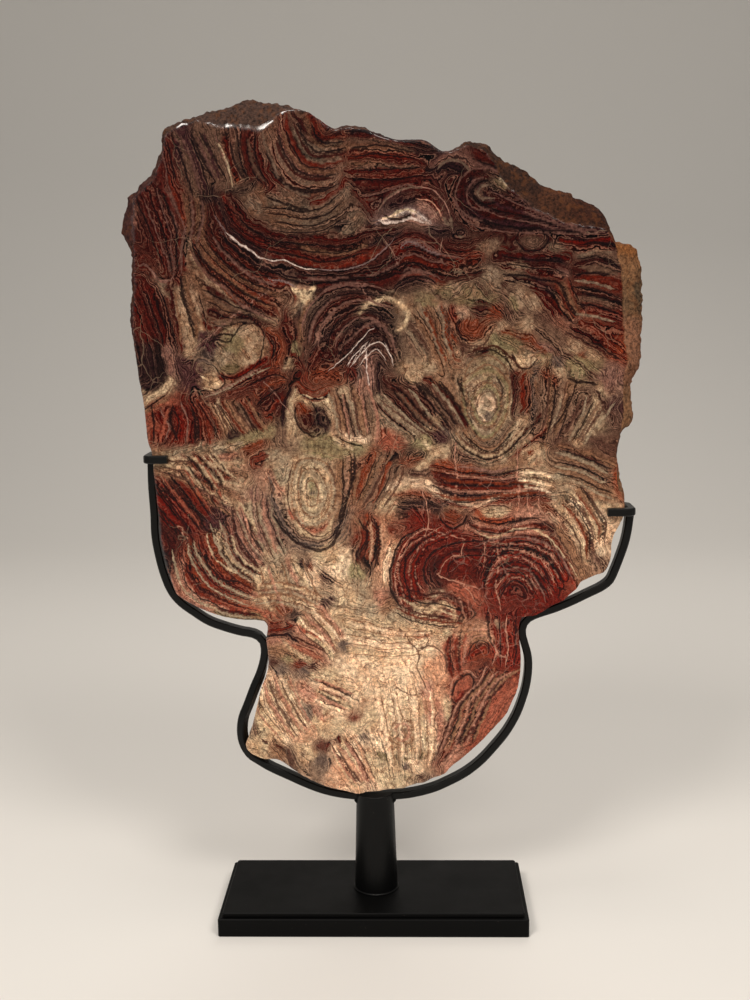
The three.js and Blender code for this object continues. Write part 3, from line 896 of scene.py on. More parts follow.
# %% Strokes: middle band
draw("""
cream 2.6  -57,442 -62,430 -62,415 -62,402
cream 2.2  -56,440 -48,434 -40,433 -31,434 -28,424
ink 1.4  -53,441 -46,437 -38,436 -30,438
ink 1.4  -58,432 -56,418 -50,410 -42,406 -36,412
maroon 7  -50,424 -44,416
plum 8  -40,428 -36,414
rust 4  -52,432 -47,424
ink 1.2  -44,434 -40,424 -45,413
cream! 1.0  -58,436 -50,440 -42,436 -34,437 -29,430
rust 4  -53,428 -49,426
brick 4  -55,446 -48,439 -38,436 -30,442
tan 5  -28,440 -22,422 -20,405
drab 5  -18,438 -12,420 -10,403
cocoa 2.4  -23,441 -17,422 -15,404
greycream 2.4  8,436 18,425 30,416 40,410
greycream 2.4  10,426 20,416 32,408
maroon 3  8,431 18,420 31,411
cocoa 3  15,445 25,436 38,425 50,415
maroon 3  30,449 45,437 58,424 68,412
oxblood 3  45,450 58,440 70,427 78,414
cream 6  46,412 57,421
cream! 3  44,402 50,396
slate 3  60,414 64,406
maroon 5  14,450 26,440 38,428
ink 1.6  18,448 30,438 42,427 54,415
ink 1.6  34,450 48,440 60,428 70,414
ink 1.6  52,450 64,438 74,424 80,412
tan 3  55,450 65,440 74,428 82,414
rust 2.4  25,440 35,429 45,420 53,413
salmon 10  13,405 24,401
sage 10  45,404 45,396
ink 3  20,390
ink 3  34,392
ink 3  43,391
greycream 24  -45,376 -46,358
cream 3  -58,378 -61,362 -56,346
tan 1  -52,386 -56,370 -55,352 -47,340
cream 4  -47,384 -50,366 -46,350 -40,345
tan 1  -40,388 -33,378 -30,362 -34,346 -43,338
salmon 3  -60,345 -52,334 -42,330 -32,336
tan 3  -24,384 -24,366
cream 4  -41,378 -36,366 -38,352
sage 6  -46,372 -45,356
slate 3  -47,361 -43,361
cocoa 1.1  -60,386 -64,370 -64,350 -54,334 -42,325 -30,330
cocoa 1.2  -32,386 -27,370 -28,350 -34,338
tan 5  -20,386 -24,370 -22,354
rose 3  -12,385 -16,370 -20,354
tan 2  -6,380 -10,366 -12,352
ink 2  -11,393 -10,382 -12,370 -17,358 -18,350 -22,342 -25,332 -30,326
tan 3.5  10,388 0,368 -8,354
drab 3.5  18,379 10,362 0,348
rust 3  4,392 -6,370 -12,358
cocoa 2  14,383 5,365 -4,351
cream 5  35,367 25,362 15,355 8,347
rust 3.5  16,358 32,361 48,358
plum 4  28,352 45,352 58,348
red 9  38,344 46,334
tan 6  -7,338 1,332
brick 5  8,332 20,330
slate 3.5  -76,352 -71,340 -66,332 -58,325 -48,319 -38,318
slate 3.5  -19,352 -20,343 -24,334 -30,325
ink 1.8  -78,346 -70,332 -60,322 -48,316 -38,314 -28,322 -22,332
greycream 11  -80,392 -70,382 -72,368
rose 3  -78,376 -70,362
sage 10  -45,400 -30,397 -5,396
ivory 4  -22,411 -14,405 -4,404
cream 4  -24,402 -12,396
ink 1.1  -24,406 -14,401 -4,399
cream 4  62,396 52,390 40,380
rust 4  30,386 42,388
cocoa 3  34,376 46,378
purple 6  52,408 62,402
""")

# %% Strokes: right of the middle, down to the arms of the stand
draw("""
cream 3  80,405 85,396 95,391 106,397 116,408 126,420
drab 3  84,411 89,402 96,398 104,404 112,416
maroon 3  68,396 76,390 86,388 100,386
orange 4  55,383 65,378 80,375 92,373
tan 5  96,378 112,381 128,390
cream 3  104,388 116,392
greycream 2.4  100,372 118,374
pinkgrey 1.6  70,382 85,380 100,377 112,381
oxblood 7  55,370 67,367 85,366 100,367 116,369
rose! 0.8  70,404 69,390 71,372 68,352
rose! 0.8  119,398 118,378 120,360 118,338
rose! 0.8  42,366 46,352 48,336 44,326
rose! 0.7  128,362 127,350 130,340
rose! 0.7  136,362 136,350 139,342
ivory 2.4  14,364 26,367 42,367 52,362 62,357 74,352 88,350 98,354 110,359 130,362
plum 2  52,366 62,361 78,358 94,359
brick 5  100,356 115,360 130,362 145,360
cream 10  121,374 134,371 147,367
ivory! 1.6  120,376 134,375 147,372
ivory! 1.6  120,370 134,368 148,364
ivory 2  121,365 134,363 146,360
cocoa 0.9  119,380 134,378 148,375
cocoa 0.9  119,373 134,371 148,367
cocoa 0.9  119,362 134,360 146,357
cream 6  89,342 98,344 111,344
maroon 0.8  80,344 92,349 108,349 116,346
maroon 0.8  84,341 92,338 106,338 114,341
slate 5  62,350 74,350
rust 8  64,342 71,342
tan 3  61,347 68,349 74,346
slate 3.5  60,352 68,354 76,351
ink 1.5  57,343 59,336 67,331 75,335 78,342
orange 4  85,347 95,337 105,335 115,339
rose 5  110,341 125,343 140,338
cream! 1.0  85,330 95,324 105,325 115,330 128,331 140,325 148,320
cream! 1.0  115,331 130,331 145,322 155,310 163,298 168,290
maroon 4  78,338 90,331 102,330 116,336 132,337 148,329
cream 15  122,394 134,393
rust 5  127,393 131,391
drab 5  150,390 170,384 192,373
cocoa 2.4  155,384 172,378 190,367
maroon 3  150,398 168,392 186,384
greycream 13  152,374 151,352
tan 10  170,362 188,354
ivory 5  163,352 178,345 190,338
tan 5  178,364 192,358
cream 3  180,352 192,347
orange 6  198,373 201,361
ivory 6  150,342 163,333 172,318
rust 3  160,343 170,330 180,312
ivory 5  168,342 178,328 184,312
tan 4  160,318 168,305 172,292
cocoa 4  178,312 184,302
tan 3  152,330 162,318 170,300
rust 2.4  140,350 152,340 158,330
cream 3  150,345 160,334 168,322
""")

# %% Strokes: the big red dome
draw("""
red 26  62,300 84,306 110,304
oxblood 12  120,285 134,280
oxblood 7  62,286 70,300
red 12  60,306 62,318
scarlet 10  150,300 158,288
oxblood 14  80,298 92,296
ink 1.5  26,264 17,282 18,304 26,322 42,332
rose! 0.7  29,262 21,282 22,303 30,320 46,331 62,326 80,322
brick 6  32,264 26,284 28,304 36,318
rose! 0.7  46,276 38,288 38,304 48,318 66,325
ink 1.4  50,280 44,292 46,306 58,316 76,320 100,321
maroon 4  56,284 51,294 54,304 66,312 84,314 104,313
rose! 0.9  58,290 54,294 60,291 68,288 78,285 88,281
rose! 0.7  56,294 60,303 68,309 80,308
ink 1.3  62,294 66,304 78,309 94,308
rose! 0.7  90,322 106,318 128,318 146,308 158,290
rose! 0.7  98,312 112,314 130,311 142,300 152,282
rose! 0.6  100,302 114,307 128,304 138,294 147,276
pinkgrey 1  104,294 116,299 128,296 136,286 142,270
rose! 0.9  108,286 116,291 126,288 132,278
pinkgrey 1.3  86,317 104,323 128,323 150,312 164,288
ink 1.4  92,316 108,315 128,315 144,304 155,286
ink 1.4  98,307 112,311 129,307 140,297 149,279
ink 1.4  100,298 114,303 127,300 136,290 144,274
ink 1.3  104,290 116,295 126,292 133,281
rose! 0.9  103,318 104,300 102,282 106,264
rose! 0.6  92,322 93,306 91,298
rose! 0.7  76,320 74,308
rose! 0.6  140,318 148,308 143,300
red 5  60,330 75,322 88,318
peach 3.5  12,338 14,320 9,302 8,288
ivory 2.4  18,316 13,304 12,290
ink 1.6  8,334 9,316 3,298
red 8  44,318 38,300 36,284
salmon 9  66,284 76,280 84,274
rose! 0.7  70,288 80,280 86,270
greycream 12  20,266 26,258
cocoa 1.0  12,272 20,276 32,270 34,258
cream 2.6  38,252 47,262 57,268 63,270 68,263 67,255 58,255 49,252
red 8  60,257 72,262
maroon 4  68,272 76,264
cocoa 1.0  34,252 46,267 60,275 70,272 74,261 68,250
cocoa 0.9  42,252 50,259 58,264 64,262
greycream 3  32,258 42,268 56,277
rose! 0.9  76,262 72,276
scarlet 9  108,250 112,230 116,214
red 8  100,262 122,256 138,262
rose! 1.5  100,236 104,227 111,224
greycream 6  100,253 108,250
ink 1.6  95,262 96,246 100,232
rust 10  86,226 90,230
scarlet 4  82,226 92,232
ink 0.9  79,222 83,235 93,238 98,227
rose! 0.9  76,218 78,234 86,242 97,240 102,228 98,216
peach 12  46,216 57,210
peach 6  54,197 56,177
cream 4  61,187 62,172
ivory 8  34,191 36,172
tan 5  75,245 84,243 92,240
brick 6  68,238 70,226 66,214
rose! 1.0  64,232 76,236 84,246 98,248
maroon 4  120,246 128,232 130,218
red 6  140,276 152,268
maroon 4  148,262 136,250 132,236
""")

# %% Strokes: the left lobe of folds
draw("""
red 22  -166,358 -150,338
oxblood 9  -168,328 -158,318
ink 1.6  -174,356 -164,344 -154,332 -146,322
ink 1.3  -168,368 -156,356 -146,344 -138,332
ink 1.3  -172,348 -162,336 -152,326
maroon 3  -170,340 -160,328 -150,318
ink 1.6  -162,372 -152,360 -143,350 -132,340
cream 2  -173,383 -168,385 -160,384 -155,388
cream 1.2  -148,385 -138,373 -128,363 -122,360
cream 1.2  -138,390 -128,378 -118,370
brick 5  -132,391 -122,379 -112,371
cream 1.6  -128,394 -118,382 -106,374
brick 5  -150,378 -142,368 -134,356 -128,350
orange 3  -139,362 -135,358
purple 13  -130,334 -122,342 -117,349
ink 1.5  -136,344 -132,332 -120,328
slate 2  -80,375 -76,365 -78,358 -72,345 -68,335
pinkgrey 5  -103,344 -101,328 -94,314 -88,306
greycream 12  -96,352 -90,336
pinkgrey 5  -84,350 -80,336 -72,326
ink 1.3  -98,345 -95,328 -88,314
ink 1.3  -110,352 -107,330 -99,314 -90,303
cream 2  -106,356 -97,344 -90,330
maroon 5  -170,340 -162,322 -160,306
plum 6  -166,312 -160,304
rose! 0.5  -157,336 -151,334 -150,328 -146,325 -149,320
rose 3  -150,312 -152,298 -150,288 -143,278 -130,270 -116,266
red 13  -132,296 -122,288 -110,284
maroon 2.5  -143,313 -145,300 -143,290 -136,281 -120,277
brick 5  -138,306 -138,294 -128,285 -112,282
ink 1.6  -132,312 -131,298 -122,291 -106,288
rust 5  -126,310 -124,300 -115,294 -102,290
rust 4  -128,332 -124,318 -117,308 -108,300 -98,294
cream 1.2  -124,332 -120,318 -113,308 -104,299 -95,293
cream 1.6  -131,328 -128,314 -120,303 -108,295
pinkgrey 4  -114,340 -110,322 -102,308 -91,300
rose 3  -106,340 -101,322 -94,310 -86,302
maroon 1.6  -110,341 -106,323 -98,309 -88,299
maroon 1.6  -119,330 -113,314 -104,304 -94,296
greycream 15  -84,318 -76,300 -72,284
tan 14  -92,284 -80,272 -64,280
cream 6  -88,300 -80,290
rose 6  -96,276 -82,280
olive 4  -100,264 -88,262
rust 5  -76,268 -66,264
rust 5  -50,302 -46,298
plum 4  -52,302
cream 14  -40,312 -26,306
cream 10  -20,284 -12,268
maroon 3  -42,294 -34,290
maroon 3  -58,286 -66,282
maroon 3  -87,303
maroon 3  -72,297
maroon 3  -74,323
olive 4  -125,262 -110,258 -90,256
salmon 4  -112,270 -96,265 -80,262
maroon 2  -126,266 -110,263 -92,260
plum 8  -64,260 -59,259
plum 7  -67,245
""")

# %% Strokes: the cream throat
draw("""
drab 3  -66,338 -58,328 -48,322 -38,323 -30,328 -26,340
plum 2  -70,333 -62,323 -50,316 -38,315 -29,320 -24,333
cream 3  -58,338 -50,328 -40,325 -33,330 -29,340
brick 12  -2,332 6,318
ink 1.6  -8,340 -2,326 -8,312
ink 1.5  2,342 8,328 4,312 8,300
salmon 3  -4,338 2,324 -2,310
ink 4  -8,312 -3,303 0,298
ivory 16  -30,310 -22,296
greycream 13  -12,288 -6,272 -6,256
sage 6  -14,300 -10,292
rose 6  8,275
tan 8  17,268
plum 4  20,278 24,274
ivory 20  6,238 26,236 44,238
ivory 12  -45,300 -50,280
slate 6  -23,236 -22,233
purple 4  -36,270
salmon 2.5  -60,250 -45,243 -33,237
maroon 1.6  -64,243 -50,236 -38,230
salmon 2.5  -66,236 -52,229 -40,223
rose 3  -50,264 -38,255 -26,250
cream 12  -30,262 -12,248
brick 5  -82,252 -74,250
maroon 3  -84,242 -72,243 -62,240
rose 3  -84,238 -72,239 -60,234
brick 3  -84,246 -72,248 -62,252
tan 5  -80,232 -68,230 -60,226
sage 4  -70,225 -60,224
slate 5  -24,237 -20,233
ivory 22  10,208 22,190 16,165
ivory 12  30,236 36,214
ivory 14  -20,222 -8,205
""")

# %% Strokes: the foot of the stone
draw("""
cream 20  -96,190 -86,162
ink 1.0  -94,196 -92,180
cream 14  -72,160 -60,172
cream 12  -66,196 -70,180
drab 5  -101,178 -97,160
cream 8  -98,152 -86,150
rose 3  -80,206 -75,190 -68,178 -61,168 -53,162
cocoa 2  -84,205 -79,188 -72,176 -64,166
rose 3  -88,203 -83,186 -76,173 -68,163
greycream 4  -72,207 -68,193 -62,182 -53,173
ink 1.6  -45,206 -35,200 -25,196 -15,191
ink 1.3  -45,196 -35,190 -25,185
rose 3  -44,201 -33,195 -22,190
maroon 5  -83,220 -78,220
slate 7  -74,217 -73,210
brick 7  -62,218 -56,220
slate 6  -58,214 -53,213
maroon 4  -49,219 -48,215
slate 7  -57,181 -51,173
rose 7  -60,198 -46,190
cream 9  -40,208 -26,204
peach 9  -36,192 -24,184
cream 9  -50,166 -40,176
rose 6  -46,182 -40,170
oxblood 9  -42,151 -41,146
oxblood 7  -31,154 -27,152
slate 7  -46,136 -38,136
slate 4  -9,156
cream 12  -44,162 -28,164
cream 9  -60,146 -50,140
brick 4  -17,172 -12,173
cream 10  -26,166 -12,160
peach 13  -28,136 -14,120
rose 1.8  -26,148 -16,132 -6,115
cream 1.8  -32,140 -22,124 -14,112
maroon 2  -28,147 -20,131 -10,116
rose 4  -20,150 -11,134 -3,118
cocoa 4  -70,146 -66,136
tan 4  -84,150 -74,140
cocoa 4  -58,142 -55,141
maroon 2  -92,154 -86,150
maroon 2  -80,150 -74,146
peach 9  -60,155 -48,165
ivory 14  25,212 34,204
cocoa 1.1  22,250 28,244 33,236 39,228 38,217 42,206 46,196
cocoa 0.8  39,228 47,238 40,248
cocoa 1.1  42,194 34,192 26,195 18,201
cocoa 1.2  38,231 50,234 60,226 62,212
cocoa 0.9  4,244 10,248 18,250
orange 5  34,243 46,243
rose 5  47,200 50,184 48,166
rose 4  54,190 57,170 54,150
tan 1.0  15,160 18,168 26,171 33,167 35,158 30,150 21,149 16,154 15,160
drab 10  24,161 26,159
rose 2  18,161 22,167 29,166 31,159 26,153 20,155
rose 3  25,160
olive 4  8,142 12,140
olive 3.5  28,137
olive 3.5  37,138
slate 4  27,130
salmon 11  70,192 78,204
scarlet 4  70,186 76,194
ink 1.4  66,188 68,200 78,210 84,206 82,194 72,184 66,188
rose! 1.0  64,188 66,203 78,213 87,207
brick 8  74,180 76,174
ink 2.5  75,168 76,158
rose 5  108,205 95,190 84,172 70,148 60,134
brick 2.5  102,206 90,190 79,170 66,147 56,134
salmon 5  116,206 102,188 91,170 78,150
maroon 2  112,206 98,189 87,170 74,149
peach 6  96,206 84,190 73,168 60,146
cocoa 4  41,121
cream 10  -8,138 8,124 30,122
ivory 12  45,170 50,145
""")

# %% [markdown]
# ## Whole bundles of layers at once
#
# Much of the face is bundles: a dozen thin layers that run side by side between two
# limits. Drawing each one would be slow work, so a bundle is given by its two limits
# and a list of layers. The layers between are blends of the two limits, each one
# shifted and shortened a little by seeded chance, because real mats were never even.

# %% Bundles
chance = np.random.default_rng(7)
BUNDLE_WAVE_MM = 2.4
STOPS = 7


def along_evenly(points, count):
    """The same run of places, as that many evenly spaced ones."""
    p = np.array(points, float)
    way = np.concatenate([[0], np.cumsum(np.linalg.norm(np.diff(p, axis=0), axis=1))])
    stops = np.linspace(0, way[-1], count)
    return np.column_stack([np.interp(stops, way, p[:, k]) for k in (0, 1)])


def bundle_of(pattern, count, first, last, trim=0.12):
    """Layers between two limits. The pattern lists shade:width words and repeats."""
    words = [word.split(":") for word in pattern.split()]
    a, b = (along_evenly(places(text), STOPS) for text in (first, last))
    closed = np.allclose(a[0], a[-1])
    for k in range(count):
        share = np.clip((k + 0.5 + chance.uniform(-0.22, 0.22)) / count, 0, 1)
        lean = 0 if closed else chance.uniform(-0.5, 0.5) / count
        shares = np.clip(share + lean * np.linspace(-1, 1, STOPS), 0, 1)[:, None]
        run = a * (1 - shares) + b * shares
        if not closed:
            cut = chance.uniform(0, trim, 2)
            ends = np.linspace(cut[0], 1 - cut[1], STOPS) * (STOPS - 1)
            run = np.column_stack([
                np.interp(ends, np.arange(STOPS), run[:, axis]) for axis in (0, 1)])
        run = run + BUNDLE_WAVE_MM * sway(run, 17, 51)
        shade, width = words[k % len(words)]
        strokes.append((shade, float(width) * chance.uniform(0.8, 1.25), *map(tuple, run)))


# %% Bundles of the upper half
bundle_of("ink:1.6 brick:3 ink:1.3 pinkgrey:1.5 maroon:3 ink:1.6 tan:2.5 ink:1.2 rust:3", 13,
          "-116,574 -108,562 -95,550 -80,541 -62,538",
          "-138,562 -133,545 -126,535 -105,513 -85,502 -70,497")
bundle_of("ink:1.4 oxblood:3 pinkgrey:1.2 maroon:3", 11,
          "-178,598 -174,585 -168,565 -160,545 -157,528",
          "-150,606 -147,592 -143,578 -139,566 -141,550 -143,533")
bundle_of("ink:1.4 drab:2.5 pinkgrey:1.4 purple:2.5", 11,
          "-148,640 -143,622 -137,605 -133,590",
          "-112,642 -106,625 -99,608")
bundle_of("oxblood:3 ink:1.3 drab:2.4 ink:1.2", 8,
          "-106,636 -104,620 -98,606",
          "-82,642 -82,625 -77,608 -70,600")
bundle_of("ink:1.3 brick:2.4 greycream:2.4 maroon:2.2 ink:1.3 tan:2.4", 14,
          "-78,640 -76,626 -71,614 -62,600 -50,593 -34,592 -20,600",
          "-38,650 -34,641 -28,636 -18,638 -8,637")
bundle_of("ink:1.4 oxblood:3 drab:2.2 ink:1.2 brick:2.6", 12,
          "-15,641 10,640 42,629",
          "-12,600 15,599 50,604")
bundle_of("greycream:2.4 ink:1.3 drab:2.4 ink:1.2", 8,
          "-80,592 -60,588 -45,582 -30,587 -16,600",
          "-78,566 -50,561 -30,565 -12,573")
bundle_of("oxblood:2.6 ink:1.4 maroon:3 ink:1.4", 6,
          "-106,594 -97,578 -80,566 -55,560 -20,560 8,562",
          "-114,580 -106,566 -90,555 -60,548 -30,540 10,550")
bundle_of("maroon:3 ink:1.5 oxblood:2.4 pinkgrey:0.9 ink:1.4", 8,
          "-60,537 -38,532 -8,532 14,541 26,553",
          "-52,523 -20,525 20,528 46,536")
bundle_of("maroon:3 pinkgrey:1.2 brick:3 ink:1.4", 12,
          "20,556 32,563 43,562 54,555 66,549 84,547",
          "24,523 34,529 44,529 56,522")
bundle_of("maroon:3 pinkgrey:1.1 plum:2.6 ink:1.3 purple:2.4", 14,
          "60,592 70,572 95,561 125,560 160,560 190,560",
          "92,604 108,594 130,583 152,574 188,564")
bundle_of("ink:1.5 brick:3 greycream:2.2 ink:1.4 maroon:2.6 drab:2.4", 15,
          "162,556 177,557 192,554",
          "162,500 177,497 195,491")
bundle_of("ink:1.4 tan:2.4 brick:2.6 ink:1.2", 8,
          "138,520 150,504 163,491",
          "158,530 165,514 172,500")
bundle_of("maroon:3 ink:1.2 oxblood:3.4", 7,
          "-177,522 -171,500 -164,478",
          "-150,530 -148,505 -142,478")
bundle_of("pinkgrey:1.4 plum:2.6 ink:1.3 maroon:2.6", 11,
          "-54,478 -51,498 -43,514 -28,524 0,528 24,522",
          "-20,470 -10,484 2,492 12,488 20,474")
bundle_of("maroon:2.6 ink:1.3 purple:2.4 pinkgrey:1.0", 7,
          "70,626 95,616 120,603 150,588 186,569",
          "92,606 110,598 132,586 156,575 188,566")
bundle_of("oxblood:2.6 ink:1.4 maroon:2.6 ink:1.2", 8,
          "104,552 124,548 146,546 160,545",
          "104,526 124,524 146,514 154,506")
bundle_of("maroon:2.6 ink:1.4 drab:2.4 ink:1.2", 8,
          "-130,533 -115,519 -98,509 -80,500",
          "-122,488 -112,492 -96,496 -84,494")
bundle_of("tan:2 cream:2.4 ink:1.2", 6,
          "-152,526 -150,505 -147,482",
          "-130,522 -126,504 -122,486")
print("strokes with the upper bundles:", len(strokes))

# %% Bundles of the middle
bundle_of("ink:1.4 brick:2.6 tan:2.2 cocoa:1.4", 11,
          "-134,437 -128,420 -122,404",
          "-96,440 -86,424 -76,411")
bundle_of("ink:1.2 red:3.4 pinkgrey:1 oxblood:3.6", 9,
          "-176,432 -172,418 -173,400",
          "-138,436 -132,420 -136,402")
bundle_of("maroon:3 ink:1.4 red:2.8 ink:1.2 salmon:1.2", 15,
          "-177,372 -166,356 -154,340 -143,322",
          "-140,392 -130,380 -120,366 -112,350")
bundle_of("greycream:1.7 ink:1.2 brick:2.8 maroon:1.4 rust:2.4 greycream:1.4 ink:1.0", 18,
          "-162,318 -161,298 -153,280 -135,266 -115,259 -92,257",
          "-112,346 -106,325 -98,308 -87,297")
bundle_of("tan:0.8 cream:2.6 greycream:2.4", 7,
          "-51,362 -48,372 -44,374 -40,362 -43,350 -48,352 -51,362",
          "-64,362 -58,386 -45,395 -32,386 -26,362 -33,338 -45,328 -57,336 -64,362")
bundle_of("drab:0.8 greycream:2.6 sage:2.2 tan:1.0", 8,
          "87,425 89,437 96,441 101,432 98,421 92,417 87,425",
          "72,450 84,463 100,463 111,450 113,430 104,408 92,399 79,412 73,430 72,450")
bundle_of("tan:2.6 ink:1.2 greycream:2.2 cocoa:1.4 cream:1.6", 8,
          "76,412 85,399 95,394 106,400 116,414",
          "62,408 74,394 92,385 108,388 125,402 133,418")
bundle_of("cocoa:1.4 greycream:1.8 maroon:2.4 ink:1.5 drab:2 ink:1.4", 16,
          "6,440 18,426 32,414 46,404",
          "56,453 66,440 76,426 84,410")
bundle_of("greycream:2.2 cocoa:1.3 tan:2.2 rose:1.2 ink:1.0", 10,
          "-32,440 -26,420 -24,402",
          "-2,446 2,425 4,404")
bundle_of("ink:1.1 red:2.4 maroon:0.9 scarlet:2.4 rose:0.6 oxblood:2.2 ink:0.9 red:2.2", 19,
          "104,268 108,281 115,287 124,284 130,271",
          "88,288 92,310 104,322 124,328 148,318 167,293")
bundle_of("ink:1.4 brick:2.4 rose:1.3 maroon:2.8 rust:2", 12,
          "50,386 75,379 100,376 127,381",
          "52,356 70,350 95,350 120,354 148,352")
bundle_of("ink:1.3 rose:2.2 brick:2.4", 6,
          "78,345 95,336 115,338 142,342",
          "74,332 95,322 112,322 135,326 152,314")
bundle_of("cocoa:1.6 cream:2.4 rust:1.4 tan:2.2 ink:1.1", 11,
          "146,346 158,336 169,318 171,300",
          "168,370 183,353 191,336 189,318")
bundle_of("tan:2.4 ink:1.2 greycream:1.8", 9,
          "150,400 170,394 194,382",
          "146,372 168,366 196,352")
bundle_of("greycream:1.8 ink:1.4 drab:2.2 cocoa:2", 9,
          "152,440 150,425 142,408",
          "196,432 184,415 172,396")
bundle_of("rust:2.4 ink:1.2 drab:2.2 cocoa:1.3", 8,
          "4,396 -6,372 -12,352",
          "30,382 22,364 11,345")
bundle_of("tan:2.2 ink:1.1 drab:2", 5,
          "-25,390 -27,370 -25,352 -29,334",
          "-10,392 -12,372 -16,354 -22,336")
bundle_of("cream:2.6 cocoa:1.3 tan:2", 9,
          "-176,396 -150,390 -120,386 -95,388",
          "-172,380 -150,372 -128,352 -108,340")
bundle_of("brick:2.6 ink:1.3 cream:1.3", 9,
          "-152,394 -138,376 -128,358",
          "-126,398 -114,386 -104,374")
bundle_of("brick:2.6 ink:1.2 rust:2.2 peach:1.6", 8,
          "-6,342 -4,322 -8,302",
          "14,338 12,320 10,302")
bundle_of("drab:2.6 cocoa:1.3 tan:2.2 ink:1.1", 8,
          "134,458 140,430 134,404",
          "168,452 158,424 152,400")
bundle_of("rust:2 ink:1.2 cream:1.8 pinkgrey:2", 7,
          "-126,330 -122,312 -110,300 -98,292",
          "-112,330 -106,314 -98,302 -88,296")
bundle_of("pinkgrey:2.4 cocoa:1.0 greycream:1.1 rose:2.2 ink:0.9 greycream:1.0", 12,
          "-114,358 -110,338 -104,320 -93,303",
          "-76,360 -76,340 -70,324 -64,308")
bundle_of("tan:2.2 ink:1.0 greycream:2 rust:2 cocoa:0.9", 10,
          "32,508 44,492 52,476 58,464",
          "62,512 66,498 66,480 70,468")
bundle_of("cream:1.8 ink:1.1 brick:2.4 maroon:1.6", 8,
          "14,262 30,250 48,243 72,244",
          "26,286 42,280 62,282 80,270")
bundle_of("red:2.4 ink:1.0 scarlet:2.2 maroon:1.0 rose:0.5", 11,
          "44,270 38,288 40,306 54,320 78,326",
          "28,262 20,284 22,306 34,324 60,334")
bundle_of("greycream:2 cocoa:0.9 cream:2 tan:1.6", 9,
          "-98,268 -76,272 -56,266 -38,256",
          "-92,288 -74,292 -52,286 -34,276")
bundle_of("tan:2 ink:1.0 pinkgrey:1.6 maroon:1.4", 7,
          "-142,600 -139,580 -139,560",
          "-125,594 -122,580 -127,560")
print("strokes with the middle bundles:", len(strokes))

# %% Bundles of the foot
bundle_of("rose:1.2 cream:2.4 cocoa:0.9 ivory:2.2 tan:0.8", 16,
          "-99,206 -95,185 -86,165 -74,150",
          "-68,212 -62,194 -54,178 -44,162")
bundle_of("rose:2 cocoa:1.0 cream:2.8 ivory:1.6 tan:2.2", 11,
          "-66,256 -56,242 -44,230 -34,218",
          "-44,272 -36,262 -26,250 -20,238")
bundle_of("cream:2.2 rose:2 maroon:0.8 ivory:2.2 cocoa:0.8 cream:1.8", 10,
          "-50,211 -36,204 -25,200 -12,195",
          "-46,187 -34,181 -20,175")
bundle_of("rose:1.8 maroon:0.8 ivory:2.2 peach:1.8 cocoa:0.8 cream:2.2", 11,
          "-38,150 -27,134 -15,113",
          "-13,157 -5,138 3,117")
bundle_of("tan:1.8 ink:1.1 brick:2.4 cocoa:1 rose:1.6 maroon:2.2 rust:2.4", 20,
          "124,214 108,205 98,188 92,170 85,152",
          "94,216 86,201 70,188 63,164 51,138", 0.05)
bundle_of("ivory:1.8 tan:0.8 cream:2 tan:0.7", 14,
          "2,200 8,175 12,150 14,126",
          "52,200 54,175 54,150 50,130")
bundle_of("cream:2.4 tan:0.8 ivory:2 tan:0.7", 10,
          "-30,262 -10,262 20,252 50,250",
          "-20,226 5,224 30,222 46,226")
bundle_of("scarlet:3 ink:1.2 red:3 rose:1.1", 8,
          "96,262 100,240 104,215",
          "128,262 127,240 122,212")
bundle_of("brick:2.4 ink:1.2 salmon:2", 6,
          "60,246 62,228 66,205",
          "80,246 76,228 78,206")
bundle_of("cream:2.6 tan:1.4 rose:2", 8,
          "-98,300 -92,280 -82,262",
          "-52,312 -44,290 -38,268")

# %% Strokes: last touches on the foot
draw("""
peach 3  72,243 86,245 100,240
peach 2.4  69,224 73,236
cream 3  -72,240 -62,229 -50,222
tan 4  -70,231 -60,222
ivory 7  -22,163 -12,152
ivory 7  6,158 14,142
ivory 6  28,140 40,128
cream 6  -8,168 2,174
""")
print("strokes in all:", len(strokes))

# %% [markdown]
# ## From strokes to a face of stone
#
# Between the strokes the rock takes its colour from whatever strokes are near, the
# nearest counting most, as wet paint bleeds. Each stroke is then laid on top with a
# soft edge, broad ones first.
#
# The fine layers, under a millimetre thick, would be far too many to draw. They run
# side by side with the drawn ones, so the face is treated like a map: every drawn layer
# gets a level in mm, the way a contour line has a height, and each corner of the mesh
# keeps the level of its own place. In the material, a pattern that depends only on
# that level makes layers which follow every bend.

# %% Smooth a stroke
def smooth_line(points, step_mm=2.0):
    """A Catmull-Rom curve through given places, as a dense row of points."""
    p = np.array(points, float)
    if len(p) == 1:
        return np.array([p[0], p[0] + 0.01])
    p = np.vstack([2 * p[0] - p[1], p, 2 * p[-1] - p[-2]])
    line = []
    for a, b, c, d in zip(p[:-3], p[1:-2], p[2:-1], p[3:]):
        count = max(2, int(np.linalg.norm(c - b) / step_mm))
        t = (np.arange(count) / count)[:, None]
        line.append(0.5 * (2 * b + (c - a) * t + (2 * a - 5 * b + 4 * c - d) * t ** 2
                           + (3 * b - a - 3 * c + d) * t ** 3))
    return np.vstack([*line, p[-2:-1]])


print("points on a sample stroke:", len(smooth_line([(0, 0), (10, 4), (20, 0)])))

